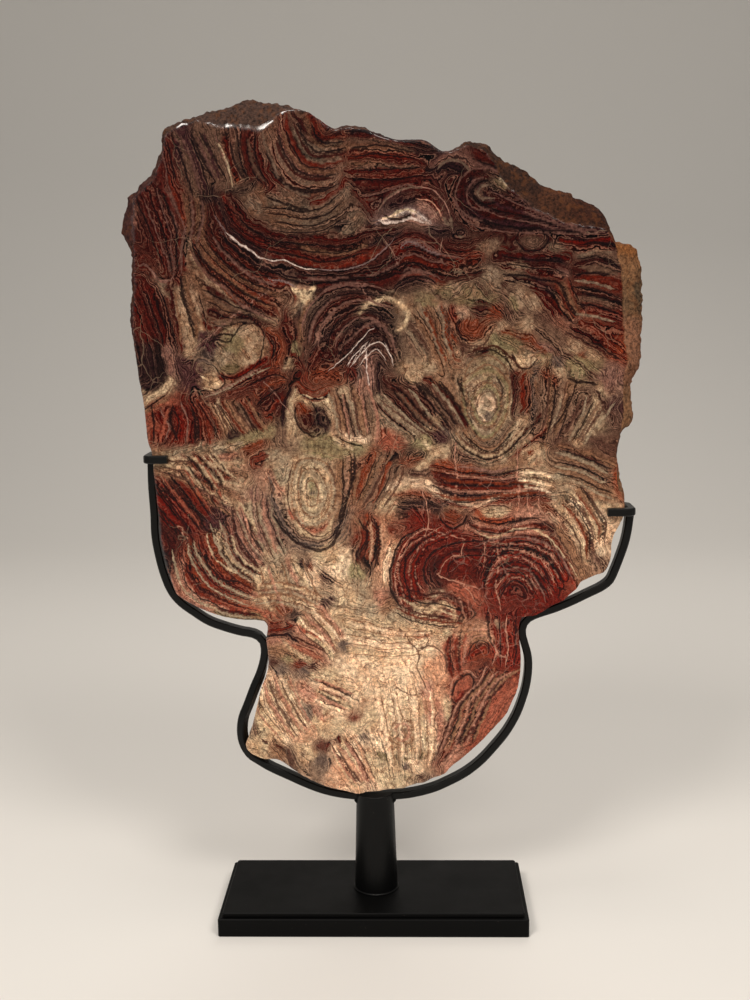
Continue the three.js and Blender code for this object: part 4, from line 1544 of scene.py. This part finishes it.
# %% Distance to a stroke
def reach_line(place, line):
    """Signed distance in mm from each place to a line, and how far along the nearest spot is."""
    a, b = line[:-1], line[1:]
    span = b - a
    length = (span ** 2).sum(1) + 1e-9
    rel = place[:, None, :] - a[None]
    t = np.clip((rel * span[None]).sum(2) / length, 0, 1)
    gap = rel - t[..., None] * span[None]
    square = (gap ** 2).sum(2)
    best = square.argmin(1)
    pick = np.arange(len(place))
    turn = span[best, 0] * rel[pick, best, 1] - span[best, 1] * rel[pick, best, 0]
    along = (best + t[pick, best]) / len(a)
    return np.sqrt(square[pick, best]) * np.where(turn < 0, -1, 1), along


print("distance from (5, 3):", reach_line(np.array([[5.0, 3.0]]), np.array([[0.0, 0], [10, 0]]))[0])

# %% Put the drawn layers in order
TAIL_MM = 40
CLOSED_MM = 6
LEAD_OVER_MM = 9
LEAD_UNDER_MM = 10


class Layer:
    """A drawn layer's line, with straight tails that carry its direction on past both ends.

    A layer leads the fine banding round it if it is long enough and not too broad.
    """

    def __init__(self, shade, width, points):
        self.shade = np.array(linear(SHADES[shade.rstrip("!")]))
        self.spared_top_shade = shade.endswith("!")
        self.width = width
        self.core = smooth_line(points)
        self.spot = len(points) == 1
        self.length = np.linalg.norm(np.diff(self.core, axis=0), axis=1).sum()
        closed = np.linalg.norm(self.core[0] - self.core[-1]) < CLOSED_MM
        self.line = self.core
        self.tail = 0 if closed or self.spot else TAIL_MM
        if self.tail:
            k = min(3, len(self.core) - 1)
            head, foot = self.core[0] - self.core[k], self.core[-1] - self.core[-1 - k]
            self.line = np.vstack([
                self.core[0] + head / np.linalg.norm(head) * TAIL_MM, self.core,
                self.core[-1] + foot / np.linalg.norm(foot) * TAIL_MM])
        steps = np.linalg.norm(np.diff(self.line, axis=0), axis=1)
        self.travel = np.concatenate([[0], np.cumsum(steps)])
        self.leads = not self.spot and self.length > LEAD_OVER_MM and self.width < LEAD_UNDER_MM

    def read(self, place):
        """Signed gap to the line with its tails, true distance to its core, and direction there."""
        gap, along = reach_line(place, self.line)
        index = along * (len(self.line) - 1)
        way = np.interp(index, np.arange(len(self.line)), self.travel)
        over = np.maximum(0, np.maximum(self.tail - way, way - (self.travel[-1] - self.tail)))
        piece = np.minimum(index.astype(int), len(self.line) - 2)
        course = self.line[piece + 1] - self.line[piece]
        return gap, np.hypot(gap, over), course / np.linalg.norm(course, axis=1)[:, None]


layers = [Layer(shade, width, points) for shade, width, *points in strokes]
leaders = [one for one in layers if one.leads]
print("layers:", len(layers), "of which lead the fine banding:", len(leaders))

# %% [markdown]
# ## Levels for the drawn layers
#
# Which level a layer gets depends on its neighbours: it must be the neighbour's level
# plus the gap between the two. So the longest layer is set to 0, and then the one that
# is best bonded to those already placed follows, again and again, as in a family tree.
# Two layers are well bonded where they lie close and run the same way.

# %% Give every leading layer a level, like a contour line on a map
PROBE_AT = np.array([0.2, 0.5, 0.8])
probes = []
courses = []
for one in leaders:
    picks = (PROBE_AT * (len(one.core) - 1)).astype(int)
    probes.append(one.core[picks])
    ahead = one.core[np.minimum(picks + 1, len(one.core) - 1)] - one.core[np.maximum(picks - 1, 0)]
    courses.append(ahead / (np.linalg.norm(ahead, axis=1)[:, None] + 1e-9))
spots_all = np.concatenate(probes)
courses_all = np.concatenate(courses)
count = len(leaders)
bond = np.zeros((count, count))
gap_to = np.zeros((count, count))
turn_to = np.zeros((count, count))
for i, one in enumerate(leaders):
    gap, distance, course = one.read(spots_all)
    gap = gap.reshape(count, len(PROBE_AT))
    distance = distance.reshape(count, len(PROBE_AT))
    match = (course * courses_all).sum(1).reshape(count, len(PROBE_AT))
    trust = 1 / (distance + 3) ** 3
    trust /= trust.sum(1)[:, None]
    gap_to[i] = (gap * trust).sum(1)
    turn_to[i] = (match * trust).sum(1)
    bond[i] = np.abs(turn_to[i]) ** 2 / (distance.min(1) + 2)
np.fill_diagonal(bond, 0)

level_of = np.zeros(count)
way_of = np.ones(count)
placed = np.zeros(count, bool)
placed[int(np.argmax([one.length for one in leaders]))] = True
while not placed.all():
    choice = np.where(placed[:, None] & ~placed[None], bond, -1)
    i, j = np.unravel_index(choice.argmax(), choice.shape)
    way_of[j] = way_of[i] * (1 if turn_to[i, j] >= 0 else -1)
    level_of[j] = level_of[i] + way_of[i] * gap_to[i, j]
    placed[j] = True
print("levels run from", round(level_of.min()), "to", round(level_of.max()), "mm")

# %% [markdown]
# ## Paint first, then pen
#
# Broad strokes are laid as paint and thin ones as pen lines. For the paint, each
# corner of the mesh keeps two colours, and the material takes turns between them from
# layer to layer. For the pen, it keeps how far away the nearest line is and what shade
# it has, so the material can draw a line that is much finer than the mesh.

# %% Lay the strokes on the mesh
REACH_MM = 45
EDGE_MM = 1.4
LEAD_REACH_MM = 26
# painted shade and light by height: at these heights in mm the colours are darkened this much, pale ones
# most, and then brightened or dimmed this much, so the top is darker and the foot lighter
TOP_SHADE = ((330, 450, 540, 600), (0.1, 0.42, 0.86, 1.06))
PAINTED_LIGHT_BY_HEIGHT = ((230, 330, 450, 560), (1.08, 0.95, 0.94, 0.85))
TOP_SHADE_TAKES = np.array([0.98, 1.09, 1.06])
DARKEST = 0.16
LINE_MM = 2.1
broad = sorted([one for one in layers if one.width > LINE_MM], key=lambda one: -one.width)
lines = [one for one in layers if one.width <= LINE_MM]


def near_to(place, one, reach):
    """Which places lie in a box round a stroke, so that only those are worked on."""
    low, high = one.core.min(0) - reach, one.core.max(0) + reach
    return np.flatnonzero(((place > low) & (place < high)).all(1))


def lightness(tone):
    """How light a colour looks, roughly, from its three linear channels."""
    return tone @ np.array([0.5, 0.4, 0.1])


def shade_the_top(place, tone):
    """Painted shade: darkens the colours towards the top, pale ones most, and lightens them towards the
    foot, as lamps aimed low would.
    """
    top_shade = np.interp(place[:, 1], *TOP_SHADE)[:, None]
    light = lightness(tone)[:, None]
    tone *= np.clip(1 - top_shade * np.sqrt(light) * TOP_SHADE_TAKES, DARKEST, 1)
    tone *= np.interp(place[:, 1], *PAINTED_LIGHT_BY_HEIGHT)[:, None]


def lay_strokes(place):
    """Two colours, the level of the fine banding and the lightness at each place.

    The first colour is that of the nearest strokes, the second a mix from further round.
    """
    rough = place + 1.1 * sway(place, 6, 21)
    rough += 0.7 * sway(place, 2.5, 23)
    close, wide = np.zeros((2, len(place), 3))
    close_weight, wide_weight, level_weight = np.full((3, len(place)), 1e-9)
    level = np.zeros(len(place))
    paint = []
    # every broad stroke pulls on the places near it: `close` fades steeply, `wide` slowly
    for one in broad:
        near = near_to(rough, one, REACH_MM + one.width / 2)
        gap, along = reach_line(rough[near], one.core)
        taper = 1 if one.spot else np.clip(0.35 + 5 * np.minimum(along, 1 - along), 0, 1)
        beyond = np.abs(gap) - one.width / 2 * taper
        fade = np.clip(1 - beyond / REACH_MM, 0, 1) * min(1, one.width / 3)
        pull = fade / (np.maximum(beyond, 0) + 1) ** 5
        close[near] += pull[:, None] * one.shade
        close_weight[near] += pull
        pull = fade / (np.maximum(beyond, 0) + 4) ** 1.8
        wide[near] += pull[:, None] * one.shade
        wide_weight[near] += pull
        paint.append((near, np.clip(0.5 - beyond / EDGE_MM, 0, 1), one))
    # every leading layer says what level a place has, and the nearest says it loudest
    for one, start, way in zip(leaders, level_of, way_of):
        near = near_to(rough, one, LEAD_REACH_MM)
        gap, distance, course = one.read(rough[near])
        pull = np.clip(1 - distance / LEAD_REACH_MM, 1e-3, 1) / (distance + 0.8) ** 3.5
        level[near] += pull * (start + way * gap)
        level_weight[near] += pull
    close /= close_weight[:, None]
    wide /= wide_weight[:, None]
    # the strokes themselves go on top; those marked ! go on after the painted shade towards the top, so
    # they keep their own colour
    for spared_top_shade in (False, True):
        for near, cover, one in paint:
            if one.spared_top_shade == spared_top_shade:
                close[near] += (one.shade - close[near]) * cover[:, None]
                wide[near] += (one.shade - wide[near]) * 0.6 * cover[:, None]
        if not spared_top_shade:
            light = lightness(close)
            # painted shade: the colours are darkened towards the top and lightened at the foot
            for tone in (close, wide):
                shade_the_top(place, tone)
    return close, wide, level / level_weight, light


FAR_MM = 40.0
LINE_REACH_MM = 12


def lay_lines(place):
    """For the nearest thin line: gap in half widths, distance in mm, and its colour."""
    rough = place + 0.8 * sway(place, 5, 41)
    rough += 0.5 * sway(place, 2.6, 43)
    spared_top_shade = np.zeros(len(place), bool)
    side, beyond = np.full((2, len(place)), FAR_MM)
    shade = np.zeros((len(place), 3))
    for one in lines:
        near = near_to(rough, one, LINE_REACH_MM)
        gap, along = reach_line(rough[near], one.core)
        half = one.width / 2 * np.clip(0.3 + 6 * np.minimum(along, 1 - along), 0, 1)
        over = np.abs(gap) - half
        closer = over < beyond[near]
        near, gap, half, over = near[closer], gap[closer], half[closer], over[closer]
        side[near], beyond[near], shade[near], spared_top_shade[near] = gap / half, over, one.shade, one.spared_top_shade
    # painted shade towards the top and painted light at the foot on the lines as well, except on those
    # marked !
    new = shade[spared_top_shade]
    shade_the_top(place, shade)
    shade[spared_top_shade] = new
    return side, beyond, shade


flat_mm = corners_mm[:, (0, 2)]
# deeper in the slice the layers run a little elsewhere, up to 5 mm off at the back
through = np.clip((corners_mm[:, 1] + 10) / 20, 0, 1)[:, None]
drift = 5 * sway(flat_mm, 40, 31)
tint, second_tint, layer, light = lay_strokes(flat_mm + through * drift)
PALE_FROM = 0.12
PALE_FADE = 0.17
pale = np.clip((light - PALE_FROM) / PALE_FADE, 0, 1)
line_side, line_beyond, line_tint = lay_lines(flat_mm + through * drift)
# the back sheet's corners lie too far apart for thin lines, which would break up there
line_beyond[back_start:] = FAR_MM
print("layer level, mm:", layer.min().round(1), "to", layer.max().round(1))

# %% [markdown]
# ## What each corner of the mesh remembers
#
# A mesh can carry numbers on its corners, called attributes, and a material can read
# them. The stone gets eleven. Three are colours: two mixed ones, and that of the
# nearest drawn line. The rest are numbers: the level of the fine banding, where the
# nearest line lies, how pale or veined the rock is, and whether its surface is
# polished, rough, weathered or waxed.

# %% Store the drawing on the mesh
# the rind's own colours: a shade each, and places it runs through
RIND_STROKES = [
    ("#402e27", (-152, 640), (-137, 648), (-120, 655), (-100, 660)),
    ("#412f28", (-92, 663), (-75, 662), (-60, 658)),
    ("#3f2421", (-187, 600), (-184, 580), (-182, 556)),
    ("#2e1b13", (96, 612), (112, 606), (130, 598)),
    ("#3f2417", (140, 594), (156, 586)),
    ("#33190f", (162, 582), (176, 575), (186, 566)),
    ("#7a4c28", (196, 551), (203, 549)),
    ("#775439", (200, 540), (206, 525), (208, 505)),
    ("#7c5540", (206, 490), (208, 470), (206, 450)),
    ("#7d5a40", (204, 435), (200, 418), (198, 400)),
    ("#3a3328", (208, 521), (209, 513), (208, 506)),
]
rind_tint = np.zeros((len(corners_mm), 3))
rind_weight = np.full(len(corners_mm), 1e-9)
for shade, *points in RIND_STROKES:
    gap, along = reach_line(flat_mm, smooth_line(points))
    pull = 1 / (np.abs(gap) + 1) ** 3
    rind_tint += pull[:, None] * np.array(linear(shade))
    rind_weight += pull
rind_tint /= rind_weight[:, None]

POLISHED_TO_MM = -9
SAWN_ROUGH = 0.6
ARRIS_ENDS_AT = 80
ARRIS_FADE_MM = 30
rough_edge = np.zeros(len(corners_mm))
rind = np.zeros(len(corners_mm))
for row, y in enumerate(ROW_DEPTHS):
    band = slice(row * rim_count, (row + 1) * rim_count)
    rough_edge[band] = 0 if y < POLISHED_TO_MM else 1
    rind[band] = 0 if row == 0 else rim_rind
rough_edge[back_start:] = SAWN_ROUGH
# the arris is the edge between face and rim; it was rounded on the left, up to x = 80
arris = np.zeros(len(corners_mm))
arris[:rim_count] = np.clip((ARRIS_ENDS_AT - corners_mm[:rim_count, 0]) / ARRIS_FADE_MM, 0, 1)
arris[rim_count:2 * rim_count] = arris[:rim_count]
for tone in (tint, second_tint):
    tone += (rind_tint - tone) * rind[:, None]

# where the rock is most veined: x, z and size in mm, fading in the outer part
VEINED = ((100, 295, 60), (98, 235, 45), (90, 372, 26), (52, 340, 30), (-120, 320, 30))
veins = np.zeros(len(corners_mm))
for x, z, size in VEINED:
    gap = np.hypot(flat_mm[:, 0] - x, flat_mm[:, 1] - z)
    veins = np.maximum(veins, np.clip(1.6 - 1.6 * gap / size, 0, 1))

for name, shades in (("tint", tint), ("second_tint", second_tint), ("line_tint", line_tint)):
    paint = stone_mesh.attributes.new(name, "FLOAT_COLOR", "POINT")
    paint.data.foreach_set("color", np.column_stack([shades, np.ones(len(shades))]).ravel())
for name, values in (("layer", layer), ("rough_edge", rough_edge), ("rind", rind),
                     ("line_side", line_side), ("line_beyond", line_beyond),
                     ("pale", pale), ("veins", veins), ("arris", arris)):
    stone_mesh.attributes.new(name, "FLOAT", "POINT").data.foreach_set("value", values)
print("attributes:", [a.name for a in stone_mesh.attributes if not a.name.startswith(".")])

# %% [markdown]
# ## Polished stromatolite
#
# A dense, silica-cemented limestone, ground and polished with fine grit. Light goes
# straight into the colours of the layers, and the surface adds only a thin clear
# reflection. The index of refraction of quartz and calcite is about 1.55.
#
# The rim was never polished. There the same rock is matt and grainy, and where the
# weather reached it, it is a brown rind speckled with darker and paler grains.

# %% Polished stone: what is stored on the mesh
polished, polished_out = new_material("polished stromatolite")
place = add_node(polished, "TexCoord")
where = {"Vector": place.outputs["Object"]}
COLOURS = ("tint", "second_tint", "line_tint")
NUMBERS = ("layer", "line_side", "line_beyond", "rough_edge", "rind", "pale", "veins", "arris")
stored = {}
for name in COLOURS + NUMBERS:
    node = add_node(polished, "Attribute", {"attribute_name": name})
    stored[name] = node.outputs["Color" if name in COLOURS else "Fac"]
print("stored on the mesh:", list(stored))

# %% Helpers for the materials
def noise(material, where, scale, detail=2, rough=0.5):
    """Cloudy noise between 0 and 1; a larger scale gives smaller clouds."""
    return add_node(material, "TexNoise", {"Scale": scale, "Detail": detail, "Roughness": rough}, where)


def spread(material, source, low_in, high_in, low_out=0, high_out=1):
    """Carries one range over to another and stops at both of its ends."""
    ends = {"From Min": low_in, "From Max": high_in, "To Min": low_out, "To Max": high_out}
    return add_node(material, "MapRange", ends, {"Value": source}).outputs[0]


def sort_out(values, settings):
    """Puts numbers and colours with the settings of a new node, and sockets with its links."""
    links = {}
    for key, value in values.items():
        (settings if isinstance(value, (int, float, tuple)) else links)[key] = value
    return settings, links


def reckon(material, operation, *values):
    """One step of arithmetic; each number is a value or a socket."""
    chosen = sort_out(dict(enumerate(values)), {"operation": operation})
    return add_node(material, "Math", *chosen).outputs[0]


def blend(material, kind, share, below, above):
    """Mixes two colours; the share and the colours are values or sockets."""
    chosen = sort_out({0: share, 6: below, 7: above}, {"data_type": "RGBA", "blend_type": kind})
    return add_node(material, "Mix", *chosen).outputs[2]


def tone_ramp(material, source, *stops):
    """A colour ramp; each stop is a position, then one grey value or three channels."""
    node = add_node(material, "ValToRGB", {}, {"Fac": source})
    for number, (position, *tone) in enumerate(stops):
        stop = node.color_ramp.elements[number] if number < 2 else node.color_ramp.elements.new(position)
        stop.position = position
        stop.color = (*(tone if len(tone) == 3 else tone * 3), 1)
    return node.outputs[0]


def pushed_about(source, reach):
    """Places that a noise's three channels push about, reach in metres."""
    pushed = add_node(polished, "VectorMath", {"operation": "MULTIPLY_ADD", 1: (reach,) * 3},
                      {0: source.outputs["Color"], 2: place.outputs["Object"]})
    return {"Vector": pushed.outputs[0]}


print("nodes before the first colour:", len(polished.node_tree.nodes))

# %% Polished stone: fine layers
def across_layers(level, scale, detail, rough):
    """Noise that changes across the layers and never along them."""
    return add_node(
        polished, "TexNoise",
        {"noise_dimensions": "1D", "Scale": scale, "Detail": detail, "Roughness": rough},
        {"W": level}).outputs[0]


# wobble of the layers, 9 mm long and 1 mm high
wobble = noise(polished, where, 130, 4, 0.72).outputs[0]
level = reckon(polished, "MULTIPLY_ADD", wobble, 6.5, stored["layer"])
# bundles of layers about 3 mm thick take one or the other of the two colours
pick = spread(polished, across_layers(level, 0.4, 2, 0.6), 0.47, 0.53)
two_tone = blend(polished, "MIX", pick, stored["tint"], stored["second_tint"])
# thin layers, about 1.2 mm apart: dark iron-rich ones and pale ones
fine = across_layers(level, 0.8, 3, 0.65)
dark_lines = tone_ramp(polished, fine, (0.39, 0.09, 0.06, 0.07), (0.5, 1.15), (0.435, 0.26), (0.465, 0.95))
pale_lines = tone_ramp(polished, fine, (0.56, 0), (0.64, 1))
# the lines come and go along the layers, over some 25 mm
patch_share = spread(polished, noise(polished, where, 40).outputs[0], 0.35, 0.6, 0.5, 1.0)
# pale carbonate is more clotted than layered
less_layered = reckon(polished, "MULTIPLY_ADD", stored["pale"], -0.3, 1.0)
dark_share = reckon(polished, "MULTIPLY", patch_share, less_layered)
lined = blend(polished, "MULTIPLY", dark_share, two_tone, dark_lines)
pale_share = reckon(polished, "MULTIPLY", reckon(polished, "MULTIPLY", pale_lines, patch_share), 0.24)
layered = blend(polished, "MIX", pale_share, lined, colour("#b8917c"))
print("nodes so far:", len(polished.node_tree.nodes))

# %% Polished stone: drawn lines
# the pen that drew the lines was a shaky one: knobs of 2 mm
shaken = reckon(polished, "MULTIPLY_ADD", noise(polished, where, 480).outputs[0], 2.4, -1.2)
side = reckon(polished, "ABSOLUTE", reckon(polished, "ADD", stored["line_side"], shaken))
on_line = spread(polished, side, 0.7, 1.4, 1, 0)
by_line = spread(polished, stored["line_beyond"], 0.4, 1.0, 0.85, 0)
line_share = reckon(polished, "MULTIPLY", on_line, by_line)
ruled = blend(polished, "MIX", line_share, layered, stored["line_tint"])
print("nodes so far:", len(polished.node_tree.nodes))

# %% Polished stone: pebbles, stains, clots and grain
# pale carbonate lies in pebbles of 7 mm, parted by brown seams; some are muddier
twist = noise(polished, where, 170, 3, 0.7)
pebbles = pushed_about(twist, 0.009)
seam = add_node(polished, "TexVoronoi", {"feature": "DISTANCE_TO_EDGE", "Scale": 140}, pebbles)
pebble = add_node(polished, "TexVoronoi", {"Scale": 140}, pebbles)
muddy = tone_ramp(polished, pebble.outputs["Color"], (0.1, 0.72, 0.68, 0.64), (0.5, 1.2))
brown_seams = tone_ramp(polished, seam.outputs["Distance"],
                        (0.0, 0.4, 0.31, 0.28), (0.1, 1.06), (0.04, 0.8, 0.72, 0.7))
seamed = blend(polished, "MULTIPLY", 1.0, muddy, brown_seams)
seam_patch = spread(polished, twist.outputs[0], 0.42, 0.58, 0.15, 1.0)
seam_share = reckon(polished, "MULTIPLY", stored["pale"], seam_patch)
pebbled = blend(polished, "MULTIPLY", seam_share, ruled, seamed)
# iron has stained some of the pale rock pink, in patches of 15 mm
pink_patches = tone_ramp(
    polished, noise(polished, where, 75, 4, 0.65).outputs[0],
    (0.4, 1.03, 1.06, 1.06), (0.62, 0.93, 0.84, 0.79), (0.52, 0.99, 0.96, 0.94))
stained = blend(polished, "MULTIPLY", stored["pale"], pebbled, pink_patches)
# clots of clearer or darker mud, 2 to 4 mm
clots = tone_ramp(polished, noise(polished, where, 300, 3, 0.7).outputs[0],
                  (0.33, 0.42, 0.36, 0.36), (0.66, 1.45, 1.48, 1.48))
clotted = blend(polished, "MULTIPLY", 0.85, stained, clots)
# polish deepens every colour, the way water does, and shows the crystal grain of 1 mm
deepened = add_node(polished, "Gamma", {"Gamma": 1.2}, {"Color": clotted})
crystals = tone_ramp(polished, noise(polished, where, 800).outputs[0], (0.3, 0.94, 0.92, 0.92), (0.7, 1.6))
grained = blend(polished, "MULTIPLY", 1.0, deepened.outputs[0], crystals)
print("nodes so far:", len(polished.node_tree.nodes))

# %% Polished stone: healed cracks and veins
CRACK_SHOWS = 0.22
bent = pushed_about(noise(polished, where, 60, 3), 0.012)


def crack_net(scale, width):
    """A net of cracks, as a share of 0 or 1; where the width is 0 they never opened."""
    net = add_node(polished, "TexVoronoi", {"feature": "DISTANCE_TO_EDGE", "Scale": scale}, bent)
    return reckon(polished, "LESS_THAN", net.outputs["Distance"], width)


# hair lines 30 mm apart, of which only parts opened
hair_width = spread(polished, noise(polished, where, 22, 1).outputs[0], 0.5, 0.75, 0, 0.012)
hair_share = reckon(polished, "MULTIPLY", crack_net(30, hair_width), CRACK_SHOWS)
cracked = blend(polished, "MIX", hair_share, grained, colour("#a88c72"))
# where the red rock was broken most, a closer net of pinkish calcite veins, 14 mm apart
vein_width = spread(polished, noise(polished, where, 90).outputs[0], 0.42, 0.65, 0, 0.032)
vein = reckon(polished, "MULTIPLY", crack_net(72, vein_width), stored["veins"])
vein_share = reckon(polished, "MULTIPLY", vein, CRACK_SHOWS)
veined = blend(polished, "MIX", vein_share, cracked, colour("#bd8f7d"))
print("nodes so far:", len(polished.node_tree.nodes))

# %% Unpolished rim and rind
# grains of 1.5 to 3 mm, dark, brown or tan
specks = tone_ramp(polished, noise(polished, where, 420, 3, 0.7).outputs[0],
                   (0.36, 0.3, 0.27, 0.25), (0.64, 1.6, 1.55, 1.45), (0.47, 0.85), (0.53, 1.05))
specked = blend(polished, "MULTIPLY", 1.0, stored["tint"], specks)
# rust in patches of 7 mm
rust_share = spread(polished, noise(polished, where, 150, 3, 0.65).outputs[0], 0.5, 0.62, 0, 0.3)
weathered = blend(polished, "MIX", rust_share, specked, colour("#6e4020"))
faced = blend(polished, "MIX", stored["rind"], veined, weathered)
dull = spread(polished, stored["rough_edge"], 0, 1, 0.26, 0.85)
lumps = noise(polished, where, 500, 4, 0.7)
lump_height = reckon(polished, "MULTIPLY", lumps.outputs[0], stored["rough_edge"])
bump = add_node(polished, "Bump", {"Strength": 0.8, "Distance": 0.002}, {"Height": lump_height})
# the wax that the last polish left gathers along the front edge: a clear coat, there alone
stone_shader = add_node(polished, "BsdfPrincipled",
                        {"IOR": 1.55, "Specular IOR Level": 0.13, "Coat IOR": 1.7, "Coat Roughness": 0.2},
                        {"Base Color": faced, "Coat Weight": stored["arris"],
                         "Roughness": dull, "Normal": bump.outputs[0]})
polished.node_tree.links.new(stone_shader.outputs[0], polished_out.inputs[0])
stone_mesh.materials.append(polished)
print("nodes in the stone:", len(polished.node_tree.nodes))

# %% [markdown]
# ## The stand's black paint
#
# The stand is mild steel with a sprayed coat of satin black paint. Satin means that
# some fine matting powder is mixed in, so a lamp shows as a broad soft glow. Sprayed
# paint is never quite even: droplets leave a faint dimpled skin, like orange peel,
# with dimples about 2 mm wide, and specks of dust settle on it and stay.
#
# The bar, the post and the base were painted apart, so each has its own material: the
# bar got a thicker, glossier coat, and the machined base the most matting powder.

# %% Satin black paint
def sprayed_black(name, hex_shade, gloss_level, low_rough, high_rough, dust_share):
    """A coat of sprayed paint: dimpled skin, uneven sheen and a few specks of dust."""
    paint, paint_out = new_material(name)
    place = add_node(paint, "TexCoord")
    where = {"Vector": place.outputs["Object"]}
    # dimples of the sprayed skin, 2 mm
    dimples = add_node(paint, "Bump", {"Strength": 0.12, "Distance": 0.0003},
                       {"Height": noise(paint, where, 500).outputs[0]})
    # handling and drying leave the sheen uneven over 40 mm
    cloud = noise(paint, where, 25, 3, 0.6)
    sheen = spread(paint, cloud.outputs[0], 0.3, 0.7, low_rough, high_rough)
    # specks of dust 0.6 mm wide, on average one to each 6 mm
    grains = add_node(paint, "TexVoronoi", {"Scale": 170}, where)
    small = reckon(paint, "LESS_THAN", grains.outputs["Distance"], 0.06)
    dusty = reckon(paint, "MULTIPLY", small, dust_share)
    base = blend(paint, "MIX", dusty, colour(hex_shade), colour("#6f6a63"))
    shader = add_node(paint, "BsdfPrincipled", {"Specular IOR Level": gloss_level},
                      {"Base Color": base, "Roughness": sheen, "Normal": dimples.outputs[0]})
    paint.node_tree.links.new(shader.outputs[0], paint_out.inputs[0])
    return paint


bar_paint = sprayed_black("satin black paint on bent bar", "#070706", 0.2, 0.32, 0.44, 0.2)
post_paint = sprayed_black("satin black paint on turned post", "#050505", 0.18, 0.36, 0.46, 0.3)
base_paint = sprayed_black("matt black paint on machined base", "#040404", 0.1, 0.46, 0.58, 0.16)
PAINTED = {
    "cradle": bar_paint, "left_clip": bar_paint, "right_clip": bar_paint,
    "post": post_paint, "base": base_paint}
for name, paint in PAINTED.items():
    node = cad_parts[name]
    node.data.materials.clear()
    node.data.materials.append(paint)
print("painted:", list(PAINTED))
